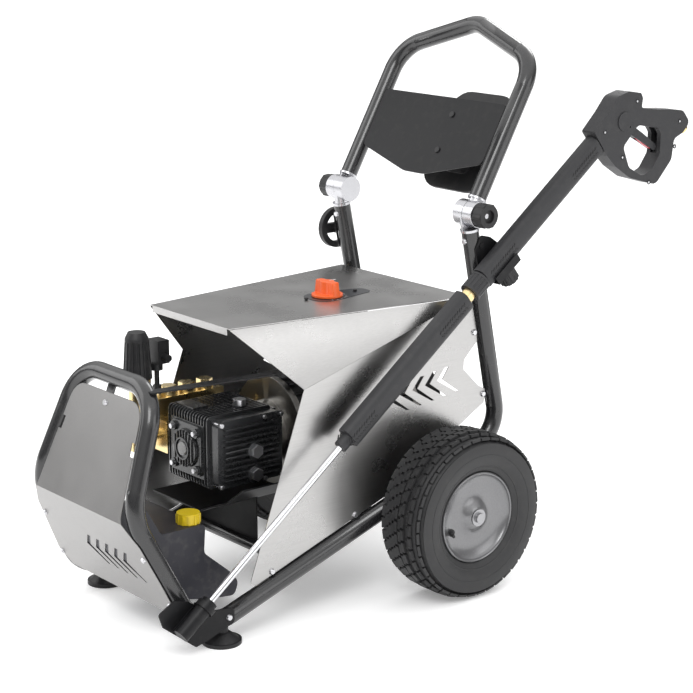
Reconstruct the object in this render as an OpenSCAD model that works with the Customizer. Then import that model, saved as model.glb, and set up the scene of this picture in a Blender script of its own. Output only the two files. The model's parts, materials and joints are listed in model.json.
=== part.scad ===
// Cold-water high-pressure cleaner on a two-wheel tubular trolley.
// Millimetres, +Z up, front towards -Y, lance on the +X side.

/* [Frame] */
// Half the distance between the centre lines of the side tubes
frame_half = 198; // [180:1:240]
// Outside diameter of the frame and handle tube
tube_d = 35; // [30:0.5:40]
// Wall of the frame and handle tube
tube_wall = 2; // [1.5:0.25:4]
// Height of the rail's centre line above the floor, at the axle
rail_z0 = 217.5; // [205:0.5:235]
// Slope of the side rails
rail_angle = 18.78; // [15:0.1:21]
// Thickness of the welded lugs
lug_t = 3; // [2:0.5:5]
// Distance from a tube's centre line to the panel bolts
lug_reach = 27; // [25:1:30]
// Diameter of the panel screws
screw_d = 6; // [4:0.5:7]

/* [Panels] */
// Thickness of the stainless sheets
sheet_t = 1.5; // [1:0.1:2.5]
// Height of the hood's top
hood_z = 566; // [550:1:600]
// Half width of the hood's front edge
hood_front_half = 130; // [110:1:150]
// Thickness of the tray under the motor
tray_t = 3; // [2:0.5:5]

/* [Wheels] */
// Outside diameter of the tyres
tyre_d = 330; // [300:1:400]
// Width of the tyres
tyre_w = 122; // [100:1:140]
// Diameter of the axle
axle_d = 20; // [16:0.5:24]
// Diameter of the rim flanges
rim_d = 180; // [160:1:200]
// Gap between a side tube and its tyre
tyre_gap = 4.5; // [3:0.5:12]

/* [Motor] */
// Height of the shaft above the floor
shaft_z = 314; // [305:1:340]
// Radius of the motor housing without its fins
motor_r = 105; // [95:1:107]
// Height of the cooling fins
fin_h = 7; // [4:0.5:10]
// Wall of the motor housing
motor_wall = 8; // [6:0.5:12]
// Diameter of the shaft
shaft_d = 25; // [20:0.5:28]
// Outside diameter of the shaft bearings
bearing_d = 52; // [46:1:60]

/* [Pump] */
// Distance between the plungers
plunger_pitch = 43; // [40:0.5:50]
// Diameter of the plungers
plunger_d = 18; // [15:0.5:22]
// Sideways distance from the shaft to the valves
valve_x = 120; // [115:1:135]
// Spacing of the bearing cover's bolts
cover_bolt_pitch = 73; // [65:1:76]
// Diameter of the regulator knob's foot
regulator_d = 57; // [50:1:66]

/* [Handle] */
// Backward tilt of the handle
handle_tilt = 29.7; // [20:0.1:40]
// Height of the handle's corners above the pivot
handle_corner = 325; // [280:1:390]
// Height of the handle's centre above the pivot
handle_peak = 395; // [330:1:440]
// Outside diameter of the clamp castings
elbow_d = 52; // [50:1:56]
// Diameter of the pivot studs
stud_d = 10; // [8:0.5:12]
// Diameter of the pivot knobs
elbow_knob_d = 46; // [40:1:50]

/* [Lance] */
// Sideways distance from the side tube to the lance
lance_offset = 42; // [40:0.5:50]
// Rise of the lance
lance_angle = 37.7; // [36:0.1:39]
// Diameter of the lance pipe
lance_pipe_d = 13; // [11:0.5:15]
// Width of the plastic sleeves
sleeve_w = 34; // [30:0.5:35]
// Height of the plastic sleeves
sleeve_h = 46; // [40:0.5:50]
// Diameter of the coupling nut
nut_d = 42; // [38:0.5:43]
// Diameter of the brass nipple
nipple_d = 27; // [24:0.5:29]
// Thickness of the gun's two shells together
gun_w = 36; // [32:0.5:40]
// Diameter of the holder's clamp knob
holder_knob_d = 40; // [34:1:44]

/* [Switch] */
// Diameter of the switch knob
switch_knob_d = 62; // [50:1:70]
// Height of the switch knob
switch_knob_h = 30; // [24:1:36]

/* [Hidden] */
$fn = 48;

// Clearances: running fits, faces that seat, and parts that move past each other
fit = 0.05;
seat = 0.3;
pass = 0.5;
over = 1;

// Frame, seen from the side as [y, z]
tube_r = tube_d / 2;
rail_slope = tan(rail_angle);
bottom_y = -565;
knee = [frame_half - 39, -678, 265];
corner = [frame_half - 72, -597.4, 476.7];
rear_y = 174.7;
joint_y = -440;
bottom_bend = 85;
knee_bend = 110;
corner_bend = 80;
rear_bend = 70;
ring = [89.4, 697];
pivot = [92, 731];
hub_z = tyre_d / 2;
wheel_x = frame_half + tube_r + tyre_gap + tyre_w / 2;
foot_y = -514.5;
cross_d = 25;
cross_ys = [-330, -150];
brace_z = 474;

// Pump, seen from above as [y] stations and heights
case_front = -440;
case_rear = -290.3;
case_z = [250, 380];
case_half = 70;
case_wall = 10;
cover_x = 98;
pad_front = case_front - 7;
plunger_mid = -366;
plunger_ys = [for (i = [-1 : 1]) plunger_mid + i * plunger_pitch];

leg_bolt_zs = [101, 194];
screw_head_d = screw_d * 2.1;
screw_head_h = 4;

function rail_z(y) = rail_z0 + rail_slope * y;
function on_line(a, b, z) = a + (b - a) * (z - a[1]) / (b[1] - a[1]);
function unit(v) = v / norm(v);
function flip(p) = [-p[0], p[1], p[2]];

// Side view of the upright's centre line
function upright_y(z) = ring[0] + (rear_y - ring[0]) * (ring[1] - z) / (ring[1] - rail_z(rear_y));

// Panel bolts beside the tubes, as [y, z]
upright_lean = atan((rear_y - ring[0]) / (ring[1] - rail_z(rear_y)));
panel_bolts = concat([for (z = [492, 362]) [upright_y(z) - lug_reach / cos(upright_lean), z]],
    [for (y = [-199, -399]) [y, rail_z(y) + lug_reach / cos(rail_angle)]]);

// Angle and setback of a bend at b between a and c
function turn(a, b, c) = acos(unit(b - a) * unit(c - b));
function setback(a, b, c, r) = r * tan(turn(a, b, c) / 2);
function cut_back(path, bends, i) =
    i == 0 || i == len(path) - 1 ? 0 : setback(path[i - 1], path[i], path[i + 1], bends[i - 1]);

// The same path with both ends a little longer, for bores
function longer(path) = let (last = len(path) - 1) [for (i = [0 : last])
    i == 0 ? path[0] - unit(path[1] - path[0]) * over :
    i == last ? path[last] + unit(path[last] - path[last - 1]) * over : path[i]];

// Outline with its corners rounded: corners are [x, y, radius]
function corner_arc(a, b, c, r) = let (
    u = unit([b[0] - a[0], b[1] - a[1]]),
    v = unit([c[0] - b[0], c[1] - b[1]]),
    half = acos(max(-1, min(1, u * v))) / 2,
    room = min(norm([b[0] - a[0], b[1] - a[1]]), norm([c[0] - b[0], c[1] - b[1]])) * 0.49,
    back = min(room, r * tan(half)),
    radius = back / tan(half),
    side = sign(u[0] * v[1] - u[1] * v[0]),
    from = [b[0], b[1]] - u * back,
    centre = from + [-u[1], u[0]] * side * radius,
    start = atan2(from[1] - centre[1], from[0] - centre[0]),
    steps = max(2, ceil(half / 8)))
    [for (k = [0 : steps]) centre + radius * [cos(start + side * 2 * half * k / steps),
        sin(start + side * 2 * half * k / steps)]];
function rounded(corners) = let (n = len(corners)) [for (i = [0 : n - 1]) each
    corners[i][2] == 0 ? [[corners[i][0], corners[i][1]]] :
    corner_arc(corners[(i + n - 1) % n], corners[i], corners[(i + 1) % n], corners[i][2])];
function mirrored(corners) = concat(corners,
    [for (i = [len(corners) - 1 : -1 : 0]) [-corners[i][0], corners[i][1], corners[i][2]]]);

// Straight rod from one point to another
module rod(from, to, d) {
    along = to - from;
    length = norm(along);
    translate(from)
        rotate([0, acos(along[2] / length), atan2(along[1], along[0])])
            cylinder(h = length, d = d);
}

module rod_x(x0, x1, d, y, z) {
    translate([x0, y, z]) rotate([0, 90, 0]) cylinder(h = x1 - x0, d = d);
}

module rod_y(y0, y1, d, x, z) {
    translate([x, y1, z]) rotate([90, 0, 0]) cylinder(h = y1 - y0, d = d);
}

// Hexagonal bar along X
module hex_x(x0, x1, flats, y, z) {
    translate([x0, y, z]) rotate([0, 90, 0]) cylinder(h = x1 - x0, d = flats / cos(30), $fn = 6);
}

// Extrudes a [y, z] outline along X
module across(x0, x1) {
    translate([x0, 0, 0]) rotate([90, 0, 90]) linear_extrude(x1 - x0) children();
}

// Extrudes an [x, z] outline along Y
module along_y(y0, y1) {
    translate([0, y1, 0]) rotate([90, 0, 0]) linear_extrude(y1 - y0) children();
}

// Flat sheet on the plane through three points, with its thickness centred on it
module facet(a, b, c, t) {
    u = unit(b - a);
    n = unit(cross(b - a, c - a));
    v = cross(n, u);
    multmatrix([[u[0], v[0], n[0], a[0]], [u[1], v[1], n[1], a[1]], [u[2], v[2], n[2], a[2]],
        [0, 0, 0, 1]])
        translate([0, 0, -t / 2]) linear_extrude(t)
            polygon([[0, 0], [norm(b - a), 0], [(c - a) * u, (c - a) * v]]);
}

// One bend of a tube at b, between a and c
module bend(a, b, c, r, d) {
    u = unit(b - a);
    v = unit(c - b);
    inward = unit(v - (v * u) * u);
    centre = b - u * setback(a, b, c, r) + inward * r;
    x = -inward;
    z = cross(x, u);
    multmatrix([[x[0], u[0], z[0], centre[0]], [x[1], u[1], z[1], centre[1]],
        [x[2], u[2], z[2], centre[2]], [0, 0, 0, 1]])
        rotate_extrude(angle = turn(a, b, c)) translate([r, 0]) circle(d = d);
}

// Solid round bar along a path, with one bend at each inner point. The straights run a little way
// into the bends, which are a hair thicker, so that each joint is a clean overlap.
lap = 2;
hair = 0.2;
module bar(path, bends, d) {
    last = len(path) - 1;
    for (i = [0 : last - 1]) {
        u = unit(path[i + 1] - path[i]);
        from = cut_back(path, bends, i) - (i > 0 ? lap : 0);
        to = cut_back(path, bends, i + 1) - (i < last - 1 ? lap : 0);
        rod(path[i] + u * from, path[i + 1] - u * to, d);
    }
    for (i = [1 : last - 1]) bend(path[i - 1], path[i], path[i + 1], bends[i - 1], d + hair);
}

// ---- Frame ----

rail_joint = [frame_half, joint_y, rail_z(joint_y)];
hoop_right = [rail_joint, [frame_half, bottom_y, rail_z(bottom_y)], knee, corner];
hoop_path = concat(hoop_right, [for (i = [3 : -1 : 0]) flip(hoop_right[i])]);
hoop_radii = [bottom_bend, knee_bend, corner_bend, corner_bend, knee_bend, bottom_bend];
rail_path = [rail_joint, [frame_half, rear_y, rail_z(rear_y)], [frame_half, ring[0], ring[1]]];
leg_foot = [frame_half, bottom_y, rail_z(bottom_y)];

// Point of the leg's centre line at height z
function leg_at(z) = leg_foot + (knee - leg_foot) * (z - leg_foot[2]) / (knee[2] - leg_foot[2]);

// Side view normals that point to the front of the leg and of the hoop
leg_slant = unit([knee[1] - leg_foot[1], knee[2] - leg_foot[2]]);
leg_front = [-leg_slant[1], leg_slant[0]];
hoop_slant = unit([corner[1] - knee[1], corner[2] - knee[2]]);
hoop_front = [-hoop_slant[1], hoop_slant[0]];
panel_inset = 10;
panel_stand = tube_r + seat + sheet_t / 2;
top_screw_z = 430;

// Runs children at a panel screw on a leg, with +Z pointing out of the panel
module at_leg_screw(side, z) {
    p = leg_at(z);
    translate([side * p[0], p[1] + leg_front[0] * panel_stand, p[2] + leg_front[1] * panel_stand])
        rotate([atan2(-leg_front[0], leg_front[1]), 0, 0])
            children();
}

// Runs children at the panel's top screw, with +Z pointing out of the panel
module at_top_screw() {
    y = on_line([knee[1], knee[2]], [corner[1], corner[2]], top_screw_z)[0];
    translate([0, y + hoop_front[0] * panel_inset, top_screw_z + hoop_front[1] * panel_inset])
        rotate([atan2(-hoop_front[0], hoop_front[1]), 0, 0])
            children();
}

// Lug that hangs from the hoop's top bar behind the panel's top screw
module top_lug() {
    at_top_screw() translate([-12, -12, -sheet_t / 2 - seat - lug_t]) cube([24, 46, lug_t]);
}

module front_hoop() {
    color("#1c1c1e") difference() {
        union() {
            bar(hoop_path, hoop_radii, tube_d);
            top_lug();
        }
        bar(longer(hoop_path), hoop_radii, tube_d - 2 * tube_wall);
        for (side = [-1, 1], z = leg_bolt_zs)
            at_leg_screw(side, z) translate([0, 0, -tube_r]) cylinder(h = tube_r, d = screw_d + 2 * fit);
        at_top_screw() translate([0, 0, -10]) cylinder(h = 20, d = screw_d + 2 * fit);
        for (side = [-1, 1]) translate([side * frame_half, foot_y, 0])
            cylinder(h = 60, d = foot_stem_d + 2 * fit);
        rod_x(frame_half, frame_half + 30, screw_d + 2 * fit, socket_bolt[0], socket_bolt[1]);
    }
}

// Flat strap with round ends between two [y, z] points
module strap(a, b, w) {
    u = unit(b - a) * w / 2;
    n = [-u[1], u[0]];
    polygon(rounded([for (p = [a - u - n, b + u - n, b + u + n, a - u + n]) [p[0], p[1], w / 2 - 0.5]]));
}

// Flat lug on the inside of a side panel, from the tube's centre line to a bolt
module side_lug(side, bolt) {
    tube_point = bolt[0] > 50 ? [upright_y(bolt[1]), bolt[1] + 4] : [bolt[0] + 9, rail_z(bolt[0] + 9)];
    inner = side * frame_half - side * (sheet_t / 2 + seat) - (side > 0 ? lug_t : 0);
    across(inner, inner + lug_t) strap(bolt, tube_point, 20);
}

axle_lug_w = 46;
axle_lug_t = 8;
module side_rail(side) {
    path = side > 0 ? rail_path : [for (p = rail_path) flip(p)];
    color("#1c1c1e") difference() {
        union() {
            bar(path, [rear_bend], tube_d);
            for (bolt = panel_bolts) side_lug(side, bolt);
            across(side * frame_half - axle_lug_t / 2, side * frame_half + axle_lug_t / 2) {
                translate([-axle_lug_w / 2, hub_z]) square([axle_lug_w, rail_z0 - hub_z]);
                translate([0, hub_z]) circle(d = axle_lug_w);
            }
        }
        bar(longer(path), [rear_bend], tube_d - 2 * tube_wall);
        rod_x(side * frame_half - 10, side * frame_half + 10, axle_d + 2 * fit, 0, hub_z);
        for (bolt = panel_bolts)
            rod_x(side * frame_half - 12, side * frame_half + 12, screw_d + 2 * fit, bolt[0], bolt[1]);
        at_rivet(side) translate([0, 0, -8]) cylinder(h = 12, d = screw_d + 2 * fit);
        if (side > 0) rod_x(frame_half, plate_x, screw_d + 2 * fit, rivet_at[0], rivet_at[1]);
        else for (p = hook_screws) rod_x(-plate_x, -frame_half, screw_d + 2 * fit, p[0], p[1]);
    }
}

module side_rail_left() {
    side_rail(-1);
}

module side_rail_right() {
    side_rail(1);
}

module cross_tubes() {
    color("#1c1c1e") difference() {
        for (y = cross_ys) rod_x(-frame_half, frame_half, cross_d, y, rail_z(y));
        for (y = cross_ys)
            rod_x(-frame_half - over, frame_half + over, cross_d - 2 * tube_wall, y, rail_z(y));
        for (side = [-1, 1])
            rod([side * frame_half, cross_ys[0] - 80, rail_z(cross_ys[0] - 80)],
                [side * frame_half, cross_ys[1] + 80, rail_z(cross_ys[1] + 80)], tube_d + 2 * fit);
    }
}

foot_d = 74;
foot_stem_d = 8;
module feet() {
    color("#222224") for (side = [-1, 1]) {
        difference() {
            translate([side * frame_half, foot_y, 0]) {
                cylinder(h = 7, d = foot_d);
                translate([0, 0, 7]) cylinder(h = 14, d1 = foot_d - 8, d2 = 30);
                cylinder(h = 40, d = 24);
            }
            bar(hoop_path, hoop_radii, tube_d + 2 * seat);
        }
        translate([side * frame_half, foot_y, over]) cylinder(h = 44, d = foot_stem_d);
    }
}

hub_half = 49;
washer_t = 3;
hub_in = wheel_x - hub_half;
hub_out = wheel_x + hub_half;
axle_end = wheel_x + tyre_w / 2 - 3;
module axle() {
    color("#8a8a8c") {
        rod_x(-axle_end, axle_end, axle_d, 0, hub_z);
        for (side = [-1, 1]) {
            ends = side > 0 ? [frame_half + axle_lug_t / 2 + seat, hub_in - seat] :
                [-hub_in + seat, -frame_half - axle_lug_t / 2 - seat];
            axle_collar(ends[0], ends[1], axle_d + 10);
            outer = side > 0 ? [hub_out + seat, hub_out + seat + washer_t] :
                [-hub_out - seat - washer_t, -hub_out - seat];
            axle_collar(outer[0], outer[1], axle_d + 14);
        }
    }
}

// Spacer or washer that sits on the axle
module axle_collar(x0, x1, d) {
    difference() {
        rod_x(x0, x1, d, 0, hub_z);
        rod_x(x0 - over, x1 + over, axle_d, 0, hub_z);
    }
}

// ---- Trolley panels and hood ----

// Front panel, seen from the side: its middle plane from bottom to top as [y, z]
panel_bottom_z = 70;
panel_top_z = 452;
leg_bottom = [leg_at(panel_bottom_z)[1], panel_bottom_z] + leg_front * panel_stand;
leg_shift = [knee[1], knee[2]] + leg_front * panel_stand;
hoop_shift = [knee[1], knee[2]] + hoop_front * panel_inset;
fold_run = ((hoop_shift - leg_shift) * hoop_front) / (leg_slant * hoop_front);
fold = leg_shift + leg_slant * fold_run;
panel_top = fold + hoop_slant * 220;
panel_low = leg_bottom - leg_slant * 20;

// Half width of the front panel at its corners, as [x, z, radius]
panel_half = [
    [leg_at(panel_bottom_z)[0] - 26, panel_bottom_z, 8],
    [leg_at(98)[0] + 8, 98, 10],
    [leg_at(212)[0] + 8, 212, 30],
    [knee[0] - 17, 262, 20],
    [on_line([knee[0], knee[2]], [corner[0], corner[2]], 363)[0] - 17, 363, 0],
    [on_line([knee[0], knee[2]], [corner[0], corner[2]], 363)[0] - 27, 363, 0],
    [on_line([knee[0], knee[2]], [corner[0], corner[2]], 387)[0] - 27, 387, 0],
    [on_line([knee[0], knee[2]], [corner[0], corner[2]], 387)[0] - 17, 387, 0],
    [on_line([knee[0], knee[2]], [corner[0], corner[2]], 440)[0] - 19, panel_top_z, 55]];

// Outline of a chevron cut-out from its tip, and where the tips are: [x, z] in the front panel and
// [y, z] in the sides of the hood
chevron = [[0, 0], [20, 24], [30, 24], [13, 1], [57, -30], [50, -30]];
front_chevrons = [for (i = [0 : 4]) [-44 + 31 * i, 156]];
side_chevrons = [for (i = [0 : 4]) [8 - 32 * i, 409 - 4 * i]];

module front_panel() {
    t = sheet_t / 2;
    color("#6e6c6c") difference() {
        intersection() {
            across(-frame_half - 40, frame_half + 40) polygon([
                panel_low - leg_front * t, fold - hoop_front * t, panel_top - hoop_front * t,
                panel_top + hoop_front * t, fold + leg_front * t, panel_low + leg_front * t]);
            along_y(-800, -400) polygon(rounded(mirrored(panel_half)));
        }
        for (side = [-1, 1], z = leg_bolt_zs)
            at_leg_screw(side, z) translate([0, 0, -5]) cylinder(h = 10, d = screw_d + 2 * fit);
        at_top_screw() translate([0, 0, -5]) cylinder(h = 10, d = screw_d + 2 * fit);
        along_y(-800, -400) for (tip = front_chevrons) translate(tip) polygon(chevron);
    }
}

// Screw along +Z with its head's underside at z = 0
module screw(grip) {
    cylinder(h = screw_head_h, d1 = screw_head_d, d2 = screw_head_d * 0.75);
    translate([0, 0, -grip]) cylinder(h = grip, d = screw_d);
}

module frame_fasteners() {
    face = sheet_t / 2;
    color("#b4b4b6") {
        for (side = [-1, 1], z = leg_bolt_zs) at_leg_screw(side, z) translate([0, 0, face]) screw(14);
        at_top_screw() translate([0, 0, face]) screw(8);
        for (side = [-1, 1], bolt = panel_bolts)
            translate([side * (frame_half + face), bolt[0], bolt[1]]) rotate([0, side * 90, 0]) screw(9);
        for (side = [-1, 1]) at_rivet(side) screw(8);
        translate([frame_half + tube_r + bracket_gap + bracket_t, socket_bolt[0], socket_bolt[1]])
            rotate([0, 90, 0]) screw(12);
    }
}

// Side of the hood: [y, z] corners of its flat part, from the front fold down and round
hood_knee = [-320, 447];
hood_rear_y = 90;
hood_side = [
    [hood_knee[0], hood_knee[1], 0], [-449, 97, 9], [-436, 91, 4],
    [-131, rail_z(-131) + 24, 20], [-62, 219, 12], [-20, 261, 14], [78, 313, 30],
    [134, 344, 6], [136, 371, 0], [118, 381, 6], [77, 421, 8], [79, 441, 8],
    [112, 472, 5], [112, 493, 8], [upright_y(hood_z) - tube_r - 4, hood_z - seat - sheet_t / 2, 0],
    [hood_rear_y, hood_z - seat - sheet_t / 2, 0]];

module side_panel(side) {
    x = side * frame_half;
    color("#a9a8a6") difference() {
        union() {
            across(x - sheet_t / 2, x + sheet_t / 2) polygon(rounded(hood_side));
            top = hood_z - seat - sheet_t / 2;
            front = [side * hood_front_half, -439, top];
            rear = [x, hood_rear_y, top];
            low = [x, hood_knee[0], hood_knee[1]];
            if (side > 0) facet(low, rear, front, sheet_t);
            else facet(low, front, rear, sheet_t);
        }
        for (bolt = panel_bolts) rod_x(x - 5, x + 5, screw_d + 2 * fit, bolt[0], bolt[1]);
        across(x - 5, x + 5) for (tip = side_chevrons) translate(tip) polygon(chevron);
    }
}

module side_panel_left() {
    side_panel(-1);
}

module side_panel_right() {
    side_panel(1);
}

hood_lip = 12;
module hood_top() {
    half = hood_front_half;
    color("#b9b8b5") difference() {
        union() {
            translate([0, 0, hood_z]) linear_extrude(sheet_t) polygon([[-half, -439], [half, -439],
                [frame_half + sheet_t, hood_rear_y], [-frame_half - sheet_t, hood_rear_y]]);
            translate([-half + 8, -439, hood_z - hood_lip]) cube([2 * half - 16, sheet_t, hood_lip]);
        }
        translate([switch_x, switch_y, hood_z - over]) cylinder(h = 5, d = shaft_hole);
        for (dy = switch_screws) translate([switch_x, switch_y + dy, hood_z - over])
            cylinder(h = 5, d = switch_screw_d + 2 * fit);
    }
}

// Flat stay from the hoop's top corner to the right side of the hood
brace_w = 22;
module hood_brace() {
    front = [corner[0] - 10, corner[1] - 2];
    rear = [frame_half - 48, -337];
    color("#18181a") difference() {
        translate([0, 0, brace_z - lug_t / 2]) linear_extrude(lug_t) polygon(rounded([
            [front[0] - brace_w / 2, front[1] - 8, 6], [front[0] + brace_w / 2, front[1] - 8, 6],
            [rear[0] + brace_w / 2, rear[1] - brace_w, 6], [frame_half, rear[1] - brace_w, 0],
            [frame_half, rear[1] + 8, 0], [rear[0] - brace_w / 2, rear[1] + 8, 6]]));
        bar(hoop_path, hoop_radii, tube_d + 2 * fit);
        translate([frame_half - 13.5, rear[1] - 20, brace_z - 10]) rotate([0, -23.9, -7.3])
            translate([0, -20, -30]) cube([60, 80, 80]);
    }
}

switch_x = 28;
switch_y = -130;
switch_screws = [-52, 70];
switch_screw_d = 4;
shaft_hole = 12;
switch_shaft_d = 8;
label_t = 1;
module switch_label() {
    color("#26282a") difference() {
        translate([0, 0, hood_z + sheet_t + fit]) linear_extrude(label_t) polygon(rounded([
            [switch_x - 40, switch_y - 44, 36], [switch_x + 40, switch_y - 44, 36],
            [switch_x + 36, switch_y + 20, 30], [switch_x + 18, switch_y + 100, 16],
            [switch_x - 18, switch_y + 100, 16], [switch_x - 36, switch_y + 20, 30]]));
        translate([switch_x, switch_y, hood_z]) cylinder(h = 5, d = shaft_hole);
        for (dy = switch_screws) translate([switch_x, switch_y + dy, hood_z])
            cylinder(h = 5, d = switch_screw_d + 2 * fit);
    }
}

module switch_knob() {
    base = hood_z + sheet_t + fit + label_t + pass;
    color("#f0562a") translate([switch_x, switch_y, base]) difference() {
        union() {
            cylinder(h = 5, d = switch_knob_d);
            translate([0, 0, 5]) intersection() {
                cylinder(h = switch_knob_h - 5, d1 = switch_knob_d, d2 = switch_knob_d - 8);
                union() {
                    cylinder(h = switch_knob_h, d = switch_knob_d * 0.45);
                    translate([-switch_knob_d / 2, -8, 0]) cube([switch_knob_d, 16, switch_knob_h]);
                }
            }
        }
        translate([0, 0, -over]) cylinder(h = switch_knob_h - 8 + over, d = switch_shaft_d + 2 * fit);
    }
}

switch_box = [64, 78, 62];
module switch_body() {
    top = hood_z - seat;
    color("#303234") {
        translate([switch_x - switch_box[0] / 2, switch_y - switch_box[1] / 2, top - switch_box[2]])
            cube(switch_box);
        translate([switch_x, switch_y, top - over])
            cylinder(h = switch_knob_h - 8 + sheet_t + label_t + seat, d = switch_shaft_d);
        for (dy = switch_screws) translate([switch_x, switch_y + dy, hood_z - 6]) {
            cylinder(h = 6 + sheet_t + fit + label_t, d = switch_screw_d);
            translate([0, 0, 6 + sheet_t + fit + label_t]) cylinder(h = 4, d = switch_screw_d * 2);
        }
    }
}

// Tray under the motor: its top surface across the machine as [x, z]
tray_top = [[-150, 188], [12, 188], [54, 207], [98, 225], [150, 262]];
tray_front = -430;
tray_back = 20;
motor_foot_xs = [-78, 0];
module base_plate() {
    color("#18181a") difference() {
        union() {
            along_y(tray_front, tray_back) polygon(concat(tray_top,
                [for (i = [len(tray_top) - 1 : -1 : 0]) tray_top[i] - [0, tray_t]]));
            for (y = cross_ys) {
                low = rail_z(y);
                along_y(y - tray_t / 2, y + tray_t / 2) polygon([[-150, 186.5], [-150, low], [60, low],
                    [60, 206], [54, 205.5], [12, 186.5]]);
            }
        }
        for (y = cross_ys) rod_x(-frame_half, frame_half, cross_d + 2 * fit, y, rail_z(y));
        for (x = motor_foot_xs, y = motor_foot_ys) translate([x, y, 150])
            cylinder(h = 60, d = foot_bolt_d + 2 * fit);
    }
}

// ---- Motor, along Y ----

motor_front = -242;
motor_rear = 30;
shield_t = 14;
bell_front = case_rear + seat;
flange_r = 108;
rear_shield_t = 15;
fan_front = motor_rear + rear_shield_t;
cover_rear = 102;
fin_count = 28;
foot_bolt_d = 8;
motor_foot_ys = [-210, -10];
bearing_w = 15;
bearing_front_y = motor_front - shield_t;
bearing_rear_y = motor_rear;

module motor_housing() {
    color("#4a4c50") difference() {
        union() {
            rod_y(motor_front, motor_rear, 2 * motor_r, 0, shaft_z);
            translate([0, 0, shaft_z]) for (i = [0 : fin_count - 1])
                rotate([0, i * 360 / fin_count, 0])
                    translate([motor_r - 3, motor_front, -1.5])
                        cube([fin_h + 3, motor_rear - motor_front, 3]);
            for (y = motor_foot_ys) translate([motor_foot_xs[0] - 14, y - 18, tray_seat(motor_foot_xs[0])])
                cube([motor_foot_xs[1] - motor_foot_xs[0] + 16, 36, shaft_z - motor_r + 16
                    - tray_seat(motor_foot_xs[0])]);
        }
        rod_y(motor_front - over, motor_rear + over, 2 * (motor_r - motor_wall), 0, shaft_z);
        for (x = motor_foot_xs, y = motor_foot_ys) translate([x, y, 150])
            cylinder(h = 60, d = foot_bolt_d + 2 * fit);
    }
}

// Height at which a flat foot meets the tray's left side
function tray_seat(x) = tray_top[1][1] + seat;

module motor_shields() {
    color("#5a5c60") {
        difference() {
            union() {
                rod_y(motor_front - shield_t, motor_front, 2 * flange_r, 0, shaft_z);
                rod_y(bell_front, motor_front - shield_t, 120, 0, shaft_z);
            }
            rod_y(bell_front - over, motor_front + over, shaft_d + 12, 0, shaft_z);
            rod_y(bearing_front_y, bearing_front_y + bearing_w, bearing_d + 2 * fit, 0, shaft_z);
        }
        difference() {
            rod_y(motor_rear, motor_rear + rear_shield_t, 2 * (motor_r + 2), 0, shaft_z);
            rod_y(motor_rear - over, motor_rear + rear_shield_t + over, shaft_d + 12, 0, shaft_z);
            rod_y(motor_rear - over, motor_rear + bearing_w - 3, bearing_d + 2 * fit, 0, shaft_z);
        }
        for (x = motor_foot_xs, y = motor_foot_ys) translate([x, y, 0]) {
            translate([0, 0, 176]) cylinder(h = 20, d = foot_bolt_d);
            translate([0, 0, 176]) cylinder(h = 5, d = foot_bolt_d * 1.7);
        }
    }
}

module fan_cover() {
    color("#1e1e20") difference() {
        rod_y(fan_front + seat, cover_rear, 2 * (motor_r + 4), 0, shaft_z);
        rod_y(fan_front, cover_rear - 3, 2 * (motor_r + 1), 0, shaft_z);
        for (row = [-4 : 4]) translate([-row_half(row), cover_rear - 6, shaft_z + row * 17 - 4])
            cube([2 * row_half(row), 10, 8]);
    }
}

// Half width of a vent row in the round fan cover
function row_half(row) = sqrt(pow(motor_r - 12, 2) - pow(row * 17, 2));

fan_hub_d = 44;
blade_count = 9;
module motor_fan() {
    y0 = fan_front + 10;
    color("#d8d8d2") difference() {
        union() {
            rod_y(y0, y0 + 30, fan_hub_d, 0, shaft_z);
            rod_y(y0, y0 + 3, 170, 0, shaft_z);
            for (i = [0 : blade_count - 1]) translate([0, 0, shaft_z])
                rotate([0, i * 360 / blade_count, 0]) translate([18, y0 + over, -1.5]) cube([65, 26, 3]);
        }
        rod_y(y0 - over, y0 + 31, shaft_d + 2 * fit, 0, shaft_z);
    }
}

rotor_d = 118;
crank_y0 = pad_front + seat;
module rotor() {
    color("#9a9a9c") {
        rod_y(crank_y0, fan_front + 42, shaft_d, 0, shaft_z);
        rod_y(-206, -6, rotor_d, 0, shaft_z);
        for (i = [-1 : 1]) rod_y(plunger_mid + i * plunger_pitch - 7, plunger_mid + i * plunger_pitch + 7,
            46, 8 * cos(i * 120), shaft_z + 8 * sin(i * 120));
    }
}

module motor_bearings() {
    color("#c8c8ca") for (ends = [[pad_front + fit, pad_front + bearing_w],
            [bearing_front_y, bearing_front_y + bearing_w], [bearing_rear_y, bearing_rear_y + bearing_w - 3]])
        difference() {
            rod_y(ends[0], ends[1], bearing_d, 0, shaft_z);
            rod_y(ends[0] - over, ends[1] + over, shaft_d + 2 * fit, 0, shaft_z);
        }
}

// ---- Pump: crankcase on the shaft, brass head on the left ----

case_fin_pitch = 9;
case_fin_h = 6;
case_fin_t = 3;
case_bolt_d = 5;
plug_y = -360;
cover_bolts = [for (y = [case_front + 5, plug_y + 25, case_rear - 5],
    z = [case_z[0] + 5, case_z[1] - 5]) [y, z]];
filler_at = [34, -350];
filler_d = 16;
plug_zs = [shaft_z, shaft_z - 46];
plug_d = 20;

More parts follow.
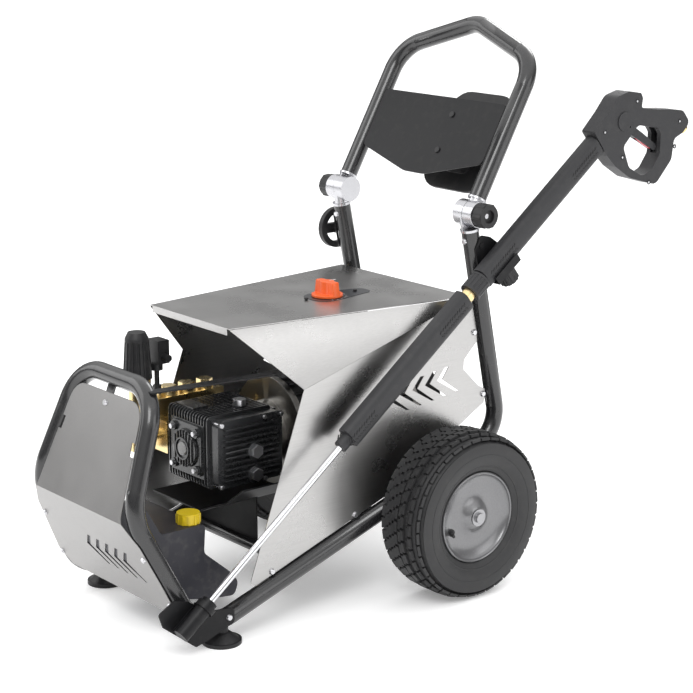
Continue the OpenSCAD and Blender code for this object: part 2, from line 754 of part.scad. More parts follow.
module crankcase() {
    h = case_fin_h;
    color("#55575b") difference() {
        union() {
            translate([-case_half, case_front, case_z[0]])
                cube([2 * case_half, case_rear - case_front, case_z[1] - case_z[0]]);
            for (x = [-case_half + 4 : case_fin_pitch : case_half - 6]) across(x, x + case_fin_t)
                polygon(rounded([[case_front - h, case_z[0] - h, 10], [case_rear - 6, case_z[0] - h, 10],
                    [case_rear - 6, case_z[1] + h, 10], [case_front - h, case_z[1] + h, 10]]));
            along_y(pad_front, case_front) translate([0, shaft_z]) square(cover_w + 6, center = true);
            translate([-56, case_front + 6, case_z[1]]) cube([58, 34, case_fin_h + 3]);
            translate([filler_at[0], filler_at[1], case_z[1]])
                cylinder(h = case_fin_h + 2, d = filler_d + 12);
        }
        translate([-case_half + case_wall, case_front + case_wall - 2, case_z[0] + case_wall])
            cube([2 * case_half, case_rear - case_front - 2 * case_wall + 2,
                case_z[1] - case_z[0] - 2 * case_wall]);
        rod_y(pad_front - over, case_front + case_wall, bearing_d + 2 * fit, 0, shaft_z);
        rod_y(case_rear - case_wall - over, case_rear + over, shaft_d + 2 * pass, 0, shaft_z);
        for (y = plunger_ys)
            rod_x(-case_half - over, -case_half + case_wall + over, plunger_d + 2 * fit, y, shaft_z);
        for (p = cover_bolts) rod_x(case_half - 14, case_half + over, case_bolt_d + 2 * fit, p[0], p[1]);
        at_bearing_bolts() rod_y(pad_front - over, pad_front + 14, case_bolt_d + 2 * fit, 0, 0);
        translate([filler_at[0], filler_at[1], case_z[1] - case_wall - over])
            cylinder(h = 30, d = filler_d + 2 * fit);
    }
}

// Runs children at each bolt of the bearing cover
module at_bearing_bolts() {
    for (sx = [-1, 1], sz = [-1, 1])
        translate([sx * cover_bolt_pitch / 2, 0, shaft_z + sz * cover_bolt_pitch / 2]) children();
}

cover_w = cover_bolt_pitch + 26;
bearing_cover_t = 9;
module bearing_cover() {
    back = pad_front - seat;
    front = back - bearing_cover_t;
    color("#5c5e62") difference() {
        union() {
            along_y(back - 4, back) translate([0, shaft_z]) polygon(rounded([for (i = [0 : 3])
                [cover_w / 2 * (i == 0 || i == 3 ? -1 : 1), cover_w / 2 * (i < 2 ? -1 : 1), 14]]));
            rod_y(front, back, cover_bolt_pitch + 2, 0, shaft_z);
            at_bearing_bolts() rod_y(front, back, 18, 0, 0);
            for (i = [-3 : 3]) translate([i * 9 - 1.5, front - 3, shaft_z - rib_half(i)])
                cube([3, 5, 2 * rib_half(i)]);
            rod_y(front - 5, front + over, 44, 0, shaft_z);
        }
        at_bearing_bolts() rod_y(front - over, back + over, case_bolt_d + 2 * fit, 0, 0);
        rod_y(front - 6, front - 2, 38, 0, shaft_z);
    }
}

// Half height of a rib on the round of the bearing cover
function rib_half(i) = sqrt(pow(cover_bolt_pitch / 2 - 1, 2) - pow(i * 9, 2));

module crankcase_cover() {
    x0 = case_half + seat;
    rib_x = cover_x - 8;
    color("#55575b") difference() {
        union() {
            across(x0, rib_x) polygon(rounded([[case_front, case_z[0], 12], [case_rear, case_z[0], 12],
                [case_rear, case_z[1], 12], [case_front, case_z[1], 12]]));
            for (i = [0 : 9]) translate([rib_x - over, case_front + 12, case_z[0] + 14 + i * 11])
                cube([9, case_rear - case_front - 24, 3]);
            for (z = plug_zs) rod_x(rib_x - over, cover_x + 1, plug_d + 14, plug_y, z);
            for (p = cover_bolts) rod_x(rib_x - over, rib_x + 4, 10, p[0], p[1]);
        }
        translate([x0 - over, case_front + case_wall, case_z[0] + case_wall])
            cube([rib_x - x0 - 5, case_rear - case_front - 2 * case_wall,
                case_z[1] - case_z[0] - 2 * case_wall]);
        for (z = plug_zs) rod_x(rib_x - 8, cover_x + 2, plug_d + 2 * fit, plug_y, z);
        for (p = cover_bolts) rod_x(x0 - over, rib_x + 5, case_bolt_d + 2 * fit, p[0], p[1]);
    }
}

module pump_screws() {
    rib_x = cover_x - 8;
    front = pad_front - seat - bearing_cover_t;
    color("#c4c4c6") {
        at_bearing_bolts() {
            rod_y(front, pad_front + 13, case_bolt_d, 0, 0);
            rod_y(front - 5, front, 10, 0, 0);
        }
        for (p = cover_bolts) {
            rod_x(case_half - 13, rib_x + 4, case_bolt_d, p[0], p[1]);
            rod_x(rib_x + 4, rib_x + 8, 8.5, p[0], p[1]);
        }
        for (z = plug_zs) {
            rod_x(rib_x - 7, cover_x + 1, plug_d, plug_y, z);
            hex_x(cover_x + 1, cover_x + 9, 24, plug_y, z);
        }
        translate([filler_at[0], filler_at[1], case_z[1] - 8]) {
            cylinder(h = 10 + case_fin_h, d = filler_d);
            translate([0, 0, 10 + case_fin_h]) cylinder(h = 12, d = 26);
        }
    }
}

plunger_tip = -112;
module plungers() {
    color("#e4e2dc") for (y = plunger_ys) {
        rod_x(plunger_tip, -44, plunger_d, y, shaft_z);
        rod_x(-58, -34, plunger_d + 10, y, shaft_z);
    }
}

head_y = [-446, -292];
head_x = [-166, -case_half - seat];
head_z = [284, 395];
valve_d = 22;
neck_spigot_d = 14;
unloader_y = -478;
outlet_z = 302;
inlet_y = -412;
stem_y = -434;
stem_d = 10;
module pump_head() {
    color("#b58a3c") difference() {
        union() {
            translate([head_x[0], head_y[0], head_z[0]])
                cube([head_x[1] - head_x[0], head_y[1] - head_y[0], 64]);
            translate([-valve_x - 22, head_y[0], head_z[0]])
                cube([44, head_y[1] - head_y[0], head_z[1] - head_z[0] - 8]);
            for (y = plunger_ys) translate([-valve_x, y, head_z[1] - 12]) cylinder(h = 12, d = 36);
            translate([-valve_x, stem_y, head_z[1] - 12]) cylinder(h = 12, d = 20);
        }
        for (y = plunger_ys) {
            rod_x(plunger_tip - 3, head_x[1] + over, plunger_d + 2 * fit, y, shaft_z);
            translate([-valve_x, y, head_z[0] + 14]) cylinder(h = 120, d = valve_d + 2 * fit);
        }
        rod_y(head_y[0] - over, head_y[0] + 20, neck_spigot_d + 2 * fit, -valve_x, shaft_z);
        rod_x(head_x[0] - over, head_x[0] + 16, neck_spigot_d + 2 * fit, inlet_y, outlet_z);
        translate([-valve_x, stem_y, head_z[1] - 14]) cylinder(h = 20, d = stem_d + 2 * fit);
    }
}

module valve_caps() {
    color("#c29a48") for (y = plunger_ys) translate([-valve_x, y, head_z[1] - 14]) {
        cylinder(h = 14 + seat, d = valve_d);
        translate([0, 0, 14 + seat]) cylinder(h = 10, d = 28 / cos(30), $fn = 6);
    }
}

unloader_z = [286, 430];
stem_top = 472;
module unloader_valve() {
    color("#b8904a") {
        difference() {
            union() {
                translate([-valve_x, unloader_y, unloader_z[0]])
                    cylinder(h = unloader_z[1] - unloader_z[0] - 20, d = 36);
                translate([-valve_x, unloader_y, unloader_z[1] - 20])
                    cylinder(h = 20, d = 44 / cos(30), $fn = 6);
                translate([-valve_x, unloader_y, unloader_z[1] - over])
                    cylinder(h = stem_top - unloader_z[1], d = 12);
                rod_y(unloader_y, head_y[0] - seat, 26, -valve_x, shaft_z);
                rod_y(unloader_y, head_y[0] + 18, neck_spigot_d, -valve_x, shaft_z);
                rod_x(-valve_x - 40, -valve_x, 22, unloader_y, outlet_z);
                rod_x(-valve_x - 24, -valve_x - 18, 30, unloader_y, outlet_z);
            }
            rod_x(-valve_x - 41, -valve_x, 11, unloader_y, outlet_z);
        }
        difference() {
            union() {
                rod_x(head_x[0] - seat - 34, head_x[0] - seat, 27, inlet_y, outlet_z);
                rod_x(head_x[0] - seat - 12, head_x[0] - seat, 34, inlet_y, outlet_z);
                rod_x(head_x[0] - seat - 2, head_x[0] + 14, neck_spigot_d, inlet_y, outlet_z);
            }
            rod_x(head_x[0] - 36, head_x[0] - 6, 17, inlet_y, outlet_z);
        }
    }
}

regulator_h = 91;
flute_count = 14;
module regulator_knob() {
    translate([-valve_x, unloader_y, unloader_z[1] + pass]) color("#1f1f21") difference() {
        union() {
            cylinder(h = regulator_h - 12, d1 = regulator_d, d2 = regulator_d * 0.81);
            translate([0, 0, regulator_h - 12])
                cylinder(h = 12, d1 = regulator_d * 0.81, d2 = regulator_d * 0.6);
        }
        for (i = [0 : flute_count - 1]) rotate(i * 360 / flute_count)
            translate([regulator_d / 2 + 0.5, 0, 8]) rotate([0, -3.9, 0])
                cylinder(h = regulator_h - 26, d = 6);
        translate([0, 0, -over]) cylinder(h = stem_top - unloader_z[1] + over, d = 12 + 2 * fit);
    }
}

switch_case = [37, 26, 46];
switch_case_z = 454;
module pressure_switch() {
    color("#2a2c2e") {
        translate([-valve_x - switch_case[0] / 2, stem_y - 8, switch_case_z]) cube(switch_case);
        translate([-valve_x, stem_y, head_z[1] - 12])
            cylinder(h = switch_case_z - head_z[1] + 13, d = stem_d);
        translate([-valve_x, stem_y, head_z[1] + 6]) cylinder(h = 9, d = 17, $fn = 6);
        translate([-valve_x, stem_y, switch_case_z - 14]) cylinder(h = 14, d = 24);
        rod_x(-valve_x + switch_case[0] / 2 - over, -valve_x + switch_case[0] / 2 + 18, 14, stem_y + 5,
            switch_case_z + 14);
    }
}

// ---- Detergent tank between the legs ----

tank_half = 105;
cap_at = [78, -502];
tank_top_z = 197;
neck_d = 32;
cap_d = 44;
function tank_face(z) = leg_at(z)[1] + (leg_front * (panel_stand - sheet_t / 2 - seat)) [0]
    - (leg_front * (panel_stand - sheet_t / 2 - seat))[1] * leg_slant[0] / leg_slant[1];
tank_side = [[tank_face(92), 92, 8], [tank_face(252), 252, 8], [-640, 264, 6], [-611, 251, 8],
    [-580, tank_top_z, 10], [-482, tank_top_z, 10], [-486, 140, 14], [-430, 92, 16], [-408, 66, 16],
    [-418, 40, 12], [-473, 46, 20], [-545, 62, 30]];
tank_cavity = [[tank_face(98) + 6, 98, 4], [tank_face(240) + 6, 240, 4], [-620, 246, 4],
    [-587, tank_top_z - 5, 4], [-488, tank_top_z - 5, 4], [-492, 138, 6], [-434, 86, 6], [-416, 62, 6],
    [-424, 47, 4], [-473, 52, 6], [-545, 68, 8]];

module detergent_tank() {
    color("#20202a") difference() {
        union() {
            across(-tank_half, tank_half) polygon(rounded(tank_side));
            translate([cap_at[0], cap_at[1], tank_top_z - over]) cylinder(h = 14, d = neck_d);
        }
        across(-tank_half + 4, tank_half - 4) polygon(rounded(tank_cavity));
        translate([cap_at[0], cap_at[1], tank_top_z - 8]) cylinder(h = 30, d = neck_d - 7);
    }
}

module tank_cap() {
    color("#d9be1a") translate([cap_at[0], cap_at[1], tank_top_z + seat]) difference() {
        union() {
            cylinder(h = 20, d = cap_d);
            for (i = [0 : 11]) rotate(i * 30) translate([cap_d / 2 - 1, -2, 0]) cube([2.5, 4, 17]);
        }
        translate([0, 0, -over]) cylinder(h = 14 + over, d = neck_d + 2 * fit);
    }
}

// ---- Folding handle ----

collar_d = 38.5;
collar_t = 5;
spigot_len = 24;
half_gap = 0.2;
disc_w = 26;
stud_reach = disc_w + 18;
handle_foot = elbow_d / 2 + 1.5 + collar_t + seat;
rivet_s = 17;

// Runs children on the upright's axis, s above its end, with +Z along it
module at_upright(side, s) {
    translate([side * frame_half, ring[0], ring[1]]) rotate([upright_lean, 0, 0])
        translate([0, 0, s]) children();
}

// Runs children at a rivet on the front of an upright, with +Z pointing out of the tube
module at_rivet(side) {
    at_upright(side, -rivet_s) translate([0, -tube_r, 0]) rotate([90, 0, 0]) children();
}

// Runs children at the pivot line, tilted with the handle
module at_handle() {
    translate([0, pivot[0], pivot[1]]) rotate([-handle_tilt, 0, 0]) children();
}

// Half disc of the pivot: inboard for the frame, outboard for the handle
module pivot_disc(side, from, to, d) {
    ends = side > 0 ? [frame_half + from, frame_half + to] : [-frame_half - to, -frame_half - from];
    rod_x(ends[0], ends[1], d, pivot[0], pivot[1]);
}

module lower_elbows() {
    neck = 30;
    color("#9b9ca0") for (side = [-1, 1]) {
        difference() {
            union() {
                at_upright(side, -spigot_len)
                    cylinder(h = spigot_len + 2, d = tube_d - 2 * tube_wall - 2 * fit);
                at_upright(side, seat) cylinder(h = collar_t, d = collar_d);
                pivot_disc(side, -disc_w, -half_gap, elbow_d);
                intersection() {
                    at_upright(side, 2) cylinder(h = neck, d = collar_d - 4);
                    pivot_disc(side, -disc_w, -half_gap, 90);
                }
            }
            at_rivet(side) translate([0, 0, -8.5]) cylinder(h = 20, d = screw_d + 2 * fit);
        }
        pivot_disc(side, -half_gap - over, stud_reach, stud_d);
    }
}

module upper_elbows() {
    neck = 30;
    color("#9b9ca0") for (side = [-1, 1]) difference() {
        union() {
            at_handle() translate([side * frame_half, 0, 0]) {
                translate([0, 0, handle_foot - seat - collar_t]) cylinder(h = collar_t, d = collar_d);
                translate([0, 0, handle_foot - 2])
                    cylinder(h = spigot_len, d = tube_d - 2 * tube_wall - 2 * fit);
            }
            pivot_disc(side, half_gap, disc_w, elbow_d);
            intersection() {
                at_handle() translate([side * frame_half, 0, 2]) cylinder(h = neck, d = collar_d - 4);
                pivot_disc(side, half_gap, disc_w, 90);
            }
        }
        pivot_disc(side, -over, disc_w + over, stud_d + 2 * fit);
    }
}

elbow_knob_h = 25;
module elbow_knob(side) {
    base = disc_w + pass;
    color("#1e1e20") difference() {
        union() {
            pivot_disc(side, base, base + elbow_knob_h, elbow_knob_d);
            for (i = [0 : 5]) translate([side * (frame_half + base + elbow_knob_h / 2), pivot[0], pivot[1]])
                rotate([i * 60, 0, 0]) translate([0, elbow_knob_d / 2 - 3, 0])
                    rotate([0, 90, 0]) cylinder(h = elbow_knob_h - 3, d = 10, center = true);
        }
        pivot_disc(side, base - over, base + 19, stud_d + 2 * fit);
        pivot_disc(side, stud_reach + 1, base + elbow_knob_h + over, 26);
    }
}

module elbow_knob_left() {
    elbow_knob(-1);
}

module elbow_knob_right() {
    elbow_knob(1);
}

handle_half_path = [[frame_half, 0, handle_foot], [frame_half, 0, handle_corner], [0, 0, handle_peak]];
handle_path = concat(handle_half_path, [for (i = [1 : -1 : 0]) flip(handle_half_path[i])]);
handle_bends = [75, 60, 75];
module handle_tube() {
    color("#1c1c1e") at_handle() difference() {
        bar(handle_path, handle_bends, tube_d);
        bar(longer(handle_path), handle_bends, tube_d - 2 * tube_wall);
    }
}

plate_t = 3;
plate_front = 8;
plate_half = frame_half - sqrt(pow(tube_r, 2) - pow(plate_front - plate_t / 2, 2)) - seat;
plate_top = 226;
module handle_panel() {
    color("#1c1c1c") at_handle() difference() {
        along_y(-plate_front - plate_t / 2, -plate_front + plate_t / 2) polygon(rounded([
            [-plate_half, plate_top, 6], [-plate_half, 98, 14], [-30, 58, 60], [30, 58, 60],
            [plate_half, 98, 14], [plate_half, plate_top, 6]]));
        for (p = hook_bolts) translate([p[0], 0, p[1]]) rotate([90, 0, 0])
            cylinder(h = 20, d = screw_d + 2 * fit);
    }
}

hook_x = [-50, 140];
hook_s = [55, 268];
hook_depth = 64;
hook_t = 8;
hook_mid = (hook_x[0] + hook_x[1]) / 2;
hook_bolts = [for (s = [112, 190]) [hook_mid, s]];
module hose_hook() {
    back = -plate_front + plate_t / 2 + seat;
    color("#18181a") at_handle() {
        difference() {
            union() {
                along_y(back, hook_depth) polygon(rounded([[hook_mid - 38, 92, 20], [hook_mid + 38, 92, 20],
                    [hook_mid + 38, 212, 20], [hook_mid - 38, 212, 20]]));
                along_y(hook_depth - hook_t, hook_depth) polygon(rounded([[hook_x[0], hook_s[0], 50],
                    [hook_x[1], hook_s[0], 50], [hook_x[1], hook_s[1], 50], [hook_x[0], hook_s[1], 50]]));
            }
            along_y(back + 8, hook_depth + over) polygon(rounded([[hook_mid - 33, 97, 15],
                [hook_mid + 33, 97, 15], [hook_mid + 33, 207, 15], [hook_mid - 33, 207, 15]]));
        }
        for (p = hook_bolts) translate([p[0], back + over, p[1]]) rotate([90, 0, 0]) {
            cylinder(h = plate_t + seat + over, d = screw_d);
            translate([0, 0, plate_t + seat + over]) cylinder(h = 3, d = screw_head_d);
        }
    }
}

// ---- Wheels ----

bead_r = rim_d / 2 - 6;
bead_half = 43.4;
rim_half = 50;
tread_t = 12;
hub_d = 46;

// Tyre section, open towards the rim, as [radius, offset, corner radius]
tyre_half = [[bead_r + seat, bead_half - 12, 2], [bead_r + seat, bead_half, 2],
    [bead_r + 7, bead_half, 2], [bead_r + 13, tyre_w / 2 - 5, 8], [bead_r + 28, tyre_w / 2, 14],
    [tyre_d / 2 - 19, tyre_w / 2, 22], [tyre_d / 2, tyre_w / 2 - 21, 20]];
tyre_inside = [[tyre_d / 2 - tread_t, tyre_w / 2 - 26, 16], [tyre_d / 2 - 25, tyre_w / 2 - tread_t + 1, 16],
    [bead_r + 20, tyre_w / 2 - 14, 8], [bead_r + 16, bead_half - 11, 4]];
function under(corners) = [for (i = [len(corners) - 1 : -1 : 0])
    [corners[i][0], -corners[i][1], corners[i][2]]];

module at_wheel(side) {
    translate([side * wheel_x, 0, hub_z]) rotate([0, side * 90, 0]) children();
}

module tyre(side) {
    color("#2a2a2b") at_wheel(side) rotate_extrude()
        polygon(rounded(concat(tyre_half, under(tyre_half), under(tyre_inside), tyre_inside)));
}

module tyre_left() {
    tyre(-1);
}

module tyre_right() {
    tyre(1);
}

module rim(side) {
    lip = rim_half - 6;
    color("#8a8a8c") at_wheel(side) rotate_extrude() polygon([
        [axle_d / 2 + fit, -hub_half], [hub_d / 2, -hub_half], [hub_d / 2, 8], [bead_r - 8, 14],
        [bead_r - 8, -rim_half + 4], [rim_d / 2 - 4, -rim_half], [rim_d / 2, -rim_half],
        [rim_d / 2, -lip], [bead_r, -lip], [bead_r, lip], [rim_d / 2, lip], [rim_d / 2, rim_half],
        [rim_d / 2 - 4, rim_half], [bead_r - 8, rim_half - 4], [bead_r - 8, 22], [hub_d / 2, 16],
        [hub_d / 2, hub_half], [axle_d / 2 + fit, hub_half]]);
}

module rim_left() {
    rim(-1);
}

module rim_right() {
    rim(1);
}

// ---- Lance, seen along its own axis: +Y runs up the lance, +Z stands square to it ----

lance_x = frame_half + lance_offset;
lance_z0 = 544.6;
module at_lance() {
    translate([lance_x, 0, lance_z0]) rotate([lance_angle, 0, 0]) children();
}

pipe_low = -776;
lower_sleeve = [-340, 50];
nipple = [lower_sleeve[1] + seat, 66];
nut = [nipple[1] + seat, 105];
upper_sleeve = [nut[1] + 2, 488];
thread_d = 22;
nozzle_d = 22;
nozzle_low = -794;
socket_low = -800;
socket_mouth = -718;
nut_end = 93;

module lance_pipe() {
    color("#c9cacc") at_lance() {
        difference() {
            rod_y(pipe_low, nipple[0] + 8, lance_pipe_d, 0, 0);
            rod_y(pipe_low - over, nipple[0] + 9, lance_pipe_d - 4, 0, 0);
        }
        difference() {
            rod_y(nut_end, valve_front + 12, lance_pipe_d, 0, 0);
            rod_y(nut_end - over, valve_front + 13, lance_pipe_d - 4, 0, 0);
        }
    }
}

module lance_nozzle() {
    color("#a8a8aa") at_lance() difference() {
        union() {
            rod_y(nozzle_low, nozzle_low + 36, nozzle_d, 0, 0);
            rod_y(nozzle_low + 30, nozzle_low + 44, 18, 0, 0);
        }
        rod_y(pipe_low, nozzle_low + 45, lance_pipe_d + 2 * fit, 0, 0);
        rod_y(nozzle_low - over, pipe_low + over, 3, 0, 0);
    }
}

module lance_nipple() {
    color("#b48a3a") at_lance() difference() {
        union() {
            rod_y(nipple[0], nipple[1], nipple_d, 0, 0);
            rod_y(nipple[1] - over, nut_end - 1, thread_d, 0, 0);
        }
        rod_y(nipple[0] - over, nipple[0] + 8 + fit, lance_pipe_d + 2 * fit, 0, 0);
        rod_y(nipple[0] - over, nut_end, lance_pipe_d - 5, 0, 0);
    }
}

// Rounded rectangle across the lance
module sleeve_section(w, h) {
    polygon(rounded([[-w / 2, -h / 2, 14], [w / 2, -h / 2, 14], [w / 2, h / 2, 14], [-w / 2, h / 2, 14]]));
}

neck_len = 24;
module lance_sleeve() {
    color("#3c3c3e") at_lance() difference() {
        union() {
            along_y(lower_sleeve[0] + neck_len, lower_sleeve[1]) sleeve_section(sleeve_w, sleeve_h);
            rod_y(lower_sleeve[0], lower_sleeve[0] + neck_len + over, 26, 0, 0);
        }
        rod_y(lower_sleeve[0] - over, lower_sleeve[1] + over, lance_pipe_d + 2 * fit, 0, 0);
    }
}

nut_ribs = 16;
module coupling_nut() {
    color("#38383a") at_lance() difference() {
        rod_y(nut[0], nut[1], nut_d, 0, 0);
        rod_y(nut[0] - over, nut_end, thread_d + 2 * fit, 0, 0);
        rod_y(nut_end - over, nut[1] + over, lance_pipe_d + 2 * fit, 0, 0);
        for (i = [0 : nut_ribs - 1]) rotate([0, i * 360 / nut_ribs, 0])
            rod_y(nut[0] + 5, nut[1] - 5, 4, nut_d / 2 + 0.8, 0);
    }
}

module gun_sleeve() {
    color("#3c3c3e") at_lance() difference() {
        along_y(upper_sleeve[0], upper_sleeve[1]) sleeve_section(sleeve_w, sleeve_h);
        rod_y(upper_sleeve[0] - over, upper_sleeve[1] + over, lance_pipe_d + 2 * fit, 0, 0);
    }
}

// Gun outline from the side as [along, up, radius]
gun_outline = [
    [489, 34, 4], [540, 40, 30], [580, 48, 24], [612, 34, 20], [636, 8, 6], [634, -4, 5], [619, -18, 6],
    [653, -52, 12], [680, -76, 16], [710, -106, 16], [712, -140, 12], [684, -144, 12], [656, -136, 14],
    [626, -166, 24], [560, -176, 20], [512, -112, 20], [494, -64, 20], [489, -30, 10]];
gun_hole = [
    [534, -46, 12], [592, -40, 14], [633, -84, 14], [632, -100, 8], [606, -132, 14], [570, -142, 16],
    [541, -134, 16], [522, -92, 16]];
trigger_pivot = [572, -26];
trigger_pin_d = 5;
trigger_w = 15;
valve_front = 500;
valve_box = [valve_front, 606, -16, 18];
boss_at = [566, -6];
inlet_from = [676, -100];
inlet_to = [703, -154];
inlet_d = 20;

// Half of the gun's shell
module gun_shell(side) {
    half = gun_w / 2;
    inner = side > 0 ? fit : -half;
    slot = trigger_w / 2 + pass;
    color("#3c3c3e") at_lance() difference() {
        union() {
            across(inner, inner + half - fit) polygon(rounded(gun_outline));
            translate([side * half - (side > 0 ? over : 2), 0, 0]) across(0, 3)
                translate(boss_at) circle(d = 38);
        }
        across(-40, 40) polygon(rounded(gun_hole));
        across(-13, 13) translate([valve_box[0] - 12, valve_box[2] - seat])
            square([valve_box[1] - valve_box[0] + 12 + seat, valve_box[3] - valve_box[2] + 2 * seat]);
        across(-slot, slot) {
            translate(trigger_pivot) circle(r = 13);
            polygon([[560, -26], [588, -28], [610, -62], [560, -62]]);
            polygon([[606, -84], [638, -84], [643, -112], [636, -124], [606, -134]]);
        }
        rod_x(-20, 20, trigger_pin_d + 2 * fit, trigger_pivot[0], trigger_pivot[1]);
        rod([0, inlet_from[0], inlet_from[1]], [0, inlet_to[0], inlet_to[1]], inlet_d + 2 * fit);
        rod([0, 600, -6], [0, inlet_from[0], inlet_from[1]], 11);
    }
}

module gun_shell_left() {
    gun_shell(-1);
}

module gun_shell_right() {
    gun_shell(1);
}

module gun_valve() {
    v = valve_box;
    color("#b48a3a") at_lance() {
        difference() {
            across(-12.5, 12.5) translate([v[0], v[2]]) square([v[1] - v[0], v[3] - v[2]]);
            rod_y(v[0] - over, v[0] + 12 + fit, lance_pipe_d + 2 * fit, 0, 0);
            rod_y(v[0], v[1] + over, 8, 0, 0);
            across(-9, 9) translate(trigger_pivot) circle(r = 13);
            rod_x(-13, 13, trigger_pin_d + 2, trigger_pivot[0], trigger_pivot[1]);
        }
        difference() {
            rod([0, inlet_from[0], inlet_from[1]], [0, inlet_to[0], inlet_to[1]], inlet_d);
            rod([0, inlet_from[0], inlet_from[1]] * 1, [0, inlet_to[0] + 5, inlet_to[1] - 10], 10);
        }
    }
}

module trigger() {
    p = trigger_pivot;
    color("#333335") at_lance() difference() {
        union() {
            across(-trigger_w / 2, trigger_w / 2) {
                translate(p) circle(d = 22);
                polygon(rounded([[562, -28, 3], [583, -28, 3], [600, -70, 14], [617, -120, 8], [606, -126, 5],
                    [588, -84, 14]]));
            }
            rod_x(-14, 14, trigger_pin_d, p[0], p[1]);
        }
        across(-latch_w / 2 - pass, latch_w / 2 + pass) polygon([[578, -59], [599, -59], [609, -92],
            [613, -122], [597, -122], [583, -86]]);
    }
    color("#333335") at_lance()
        rod_x(-trigger_w / 2 + over, trigger_w / 2 - over, latch_pin_d, latch_pivot[0], latch_pivot[1]);
}

latch_w = 8;
latch_pin_d = 3;
latch_pivot = [589, -70];
module trigger_latch() {
    color("#d8324a") at_lance() difference() {
        across(-latch_w / 2, latch_w / 2) polygon(rounded([[583, -66, 3], [594, -64, 3], [603, -92, 8],
            [607, -114, 3], [601, -116, 3], [589, -88, 6]]));
        rod_x(-latch_w, latch_w, latch_pin_d + 2 * fit, latch_pivot[0], latch_pivot[1]);
    }
}

// ---- Brackets ----

plate_x = frame_half + tube_r + seat;
holder_t = 2.5;
cradle = [120, 190];
cradle_floor = -sleeve_h / 2 - seat;
cradle_t = 3;
holder_stud_d = 8;
clamp_t = 158;
rivet_at = [101, 669];
module lance_holder() {
    color("#1a1a1c") {
        difference() {
            union() {
                across(plate_x, plate_x + holder_t) polygon(rounded([
                    [86, 662, 8], [99, 690, 8], [124, 684, 6], [172, 652, 8], [169, 634, 4],
                    [110, 591, 4], [98, 606, 8]]));
                at_lance() {
                    translate([plate_x - lance_x, cradle[0], cradle_floor - cradle_t])
                        cube([46.7, cradle[1] - cradle[0], cradle_t]);
                    translate([20, cradle[0], cradle_floor - cradle_t])
                        cube([plate_x - lance_x + 46.7 - 20, cradle[1] - cradle[0], 18]);
                }
            }
            rod_x(plate_x - over, plate_x + 5, screw_d + 2 * fit, rivet_at[0], rivet_at[1]);
            at_lance() translate([0, clamp_t, cradle_floor - 5])
                cylinder(h = 10, d = holder_stud_d + 2 * fit);
        }
        rod_x(plate_x - 2, plate_x + holder_t, screw_d, rivet_at[0], rivet_at[1]);
        rod_x(plate_x + holder_t, plate_x + holder_t + 2.5, 11, rivet_at[0], rivet_at[1]);
    }
}

holder_knob_h = 28;
module holder_knob() {
    top = cradle_floor - cradle_t - pass;
    color("#1e1e20") at_lance() translate([0, clamp_t, top - holder_knob_h]) {
        difference() {
            cylinder(h = holder_knob_h, d = holder_knob_d);
            for (i = [0 : 11]) rotate(i * 30) translate([holder_knob_d / 2 + 1, 0, -over])
                cylinder(h = holder_knob_h - 3, d = 5);
        }
        translate([0, 0, holder_knob_h - over]) cylinder(h = cradle_t + pass + over, d = holder_stud_d);
    }
}

bracket_gap = seat;
bracket_t = 3;
socket_bore = nozzle_d + 1;
socket_d = 30;
socket_bolt = [-512, 54];
module lance_socket() {
    color("#1a1a1c") difference() {
        union() {
            across(plate_x, plate_x + bracket_t) polygon(rounded([[-656, 70, 6], [-665, 96, 6],
                [-632, 115, 8], [-600, 106, 12], [-560, 78, 12], [-500, 70, 8], [-500, 42, 8],
                [-560, 21, 10], [-586, 15, 4]]));
            at_lance() {
                rod_y(socket_low, socket_mouth, socket_d, 0, 0);
                rod_y(socket_mouth - 20, socket_mouth - 8, socket_d + 8, 0, 0);
                translate([plate_x - lance_x, socket_low, -7]) cube([lance_x - plate_x - 12, 66, 14]);
            }
        }
        at_lance() rod_y(nozzle_low - 2, socket_mouth + over, socket_bore, 0, 0);
        across(plate_x - over, plate_x + bracket_t + over) polygon(rounded([[-630, 66, 2], [-610, 80, 2],
            [-600, 69, 2], [-620, 57, 2]]));
        rod_x(plate_x - over, plate_x + bracket_t + over, screw_d + 2 * fit, socket_bolt[0], socket_bolt[1]);
    }
}

hook_at = [104, 641];
hook_screws = [for (dz = [-30, 30]) [upright_y(hook_at[1] + dz), hook_at[1] + dz]];
cable_hook_r = 43;
module cable_hook() {
    inner = -plate_x;
    color("#1a1a1c") difference() {
        union() {
            across(inner - 3, inner) strap(hook_screws[0], hook_screws[1], 24);
            rod_x(inner - 20, inner - 2, 26, hook_at[0], hook_at[1]);
            across(inner - 26, inner - 14) difference() {
                union() {
                    difference() {
                        translate(hook_at) circle(r = cable_hook_r);
                        translate(hook_at) circle(r = cable_hook_r - 13);
                        translate([hook_at[0] + 8, hook_at[1] - 60]) square([60, 120]);
                    }
                    translate([hook_at[0] - cable_hook_r + 4, hook_at[1] - 10])
                        square([cable_hook_r - 4, 20]);
                }
            }
        }
        for (p = hook_screws) rod_x(inner - 5, inner + 5, screw_d + 2 * fit, p[0], p[1]);
    }
    color("#b4b4b6") for (p = hook_screws) {
        rod_x(inner - 3, inner + 2, screw_d, p[0], p[1]);
        rod_x(inner - 6, inner - 3, screw_head_d, p[0], p[1]);
    }
}

// ---- Placing: the origin is on the floor under the middle of the whole machine ----

y_front = (fold + leg_front * sheet_t / 2)[0];
inlet_slope = unit([inlet_to[0] - inlet_from[0], inlet_to[1] - inlet_from[1]]);
inlet_y_dir = inlet_slope[0] * cos(lance_angle) - inlet_slope[1] * sin(lance_angle);
y_rear = inlet_to[0] * cos(lance_angle) - inlet_to[1] * sin(lance_angle)
    + inlet_d / 2 * sqrt(1 - pow(inlet_y_dir, 2));
origin_y = -(y_front + y_rear) / 2;

module placed() {
    translate([0, origin_y, 0]) children();
}

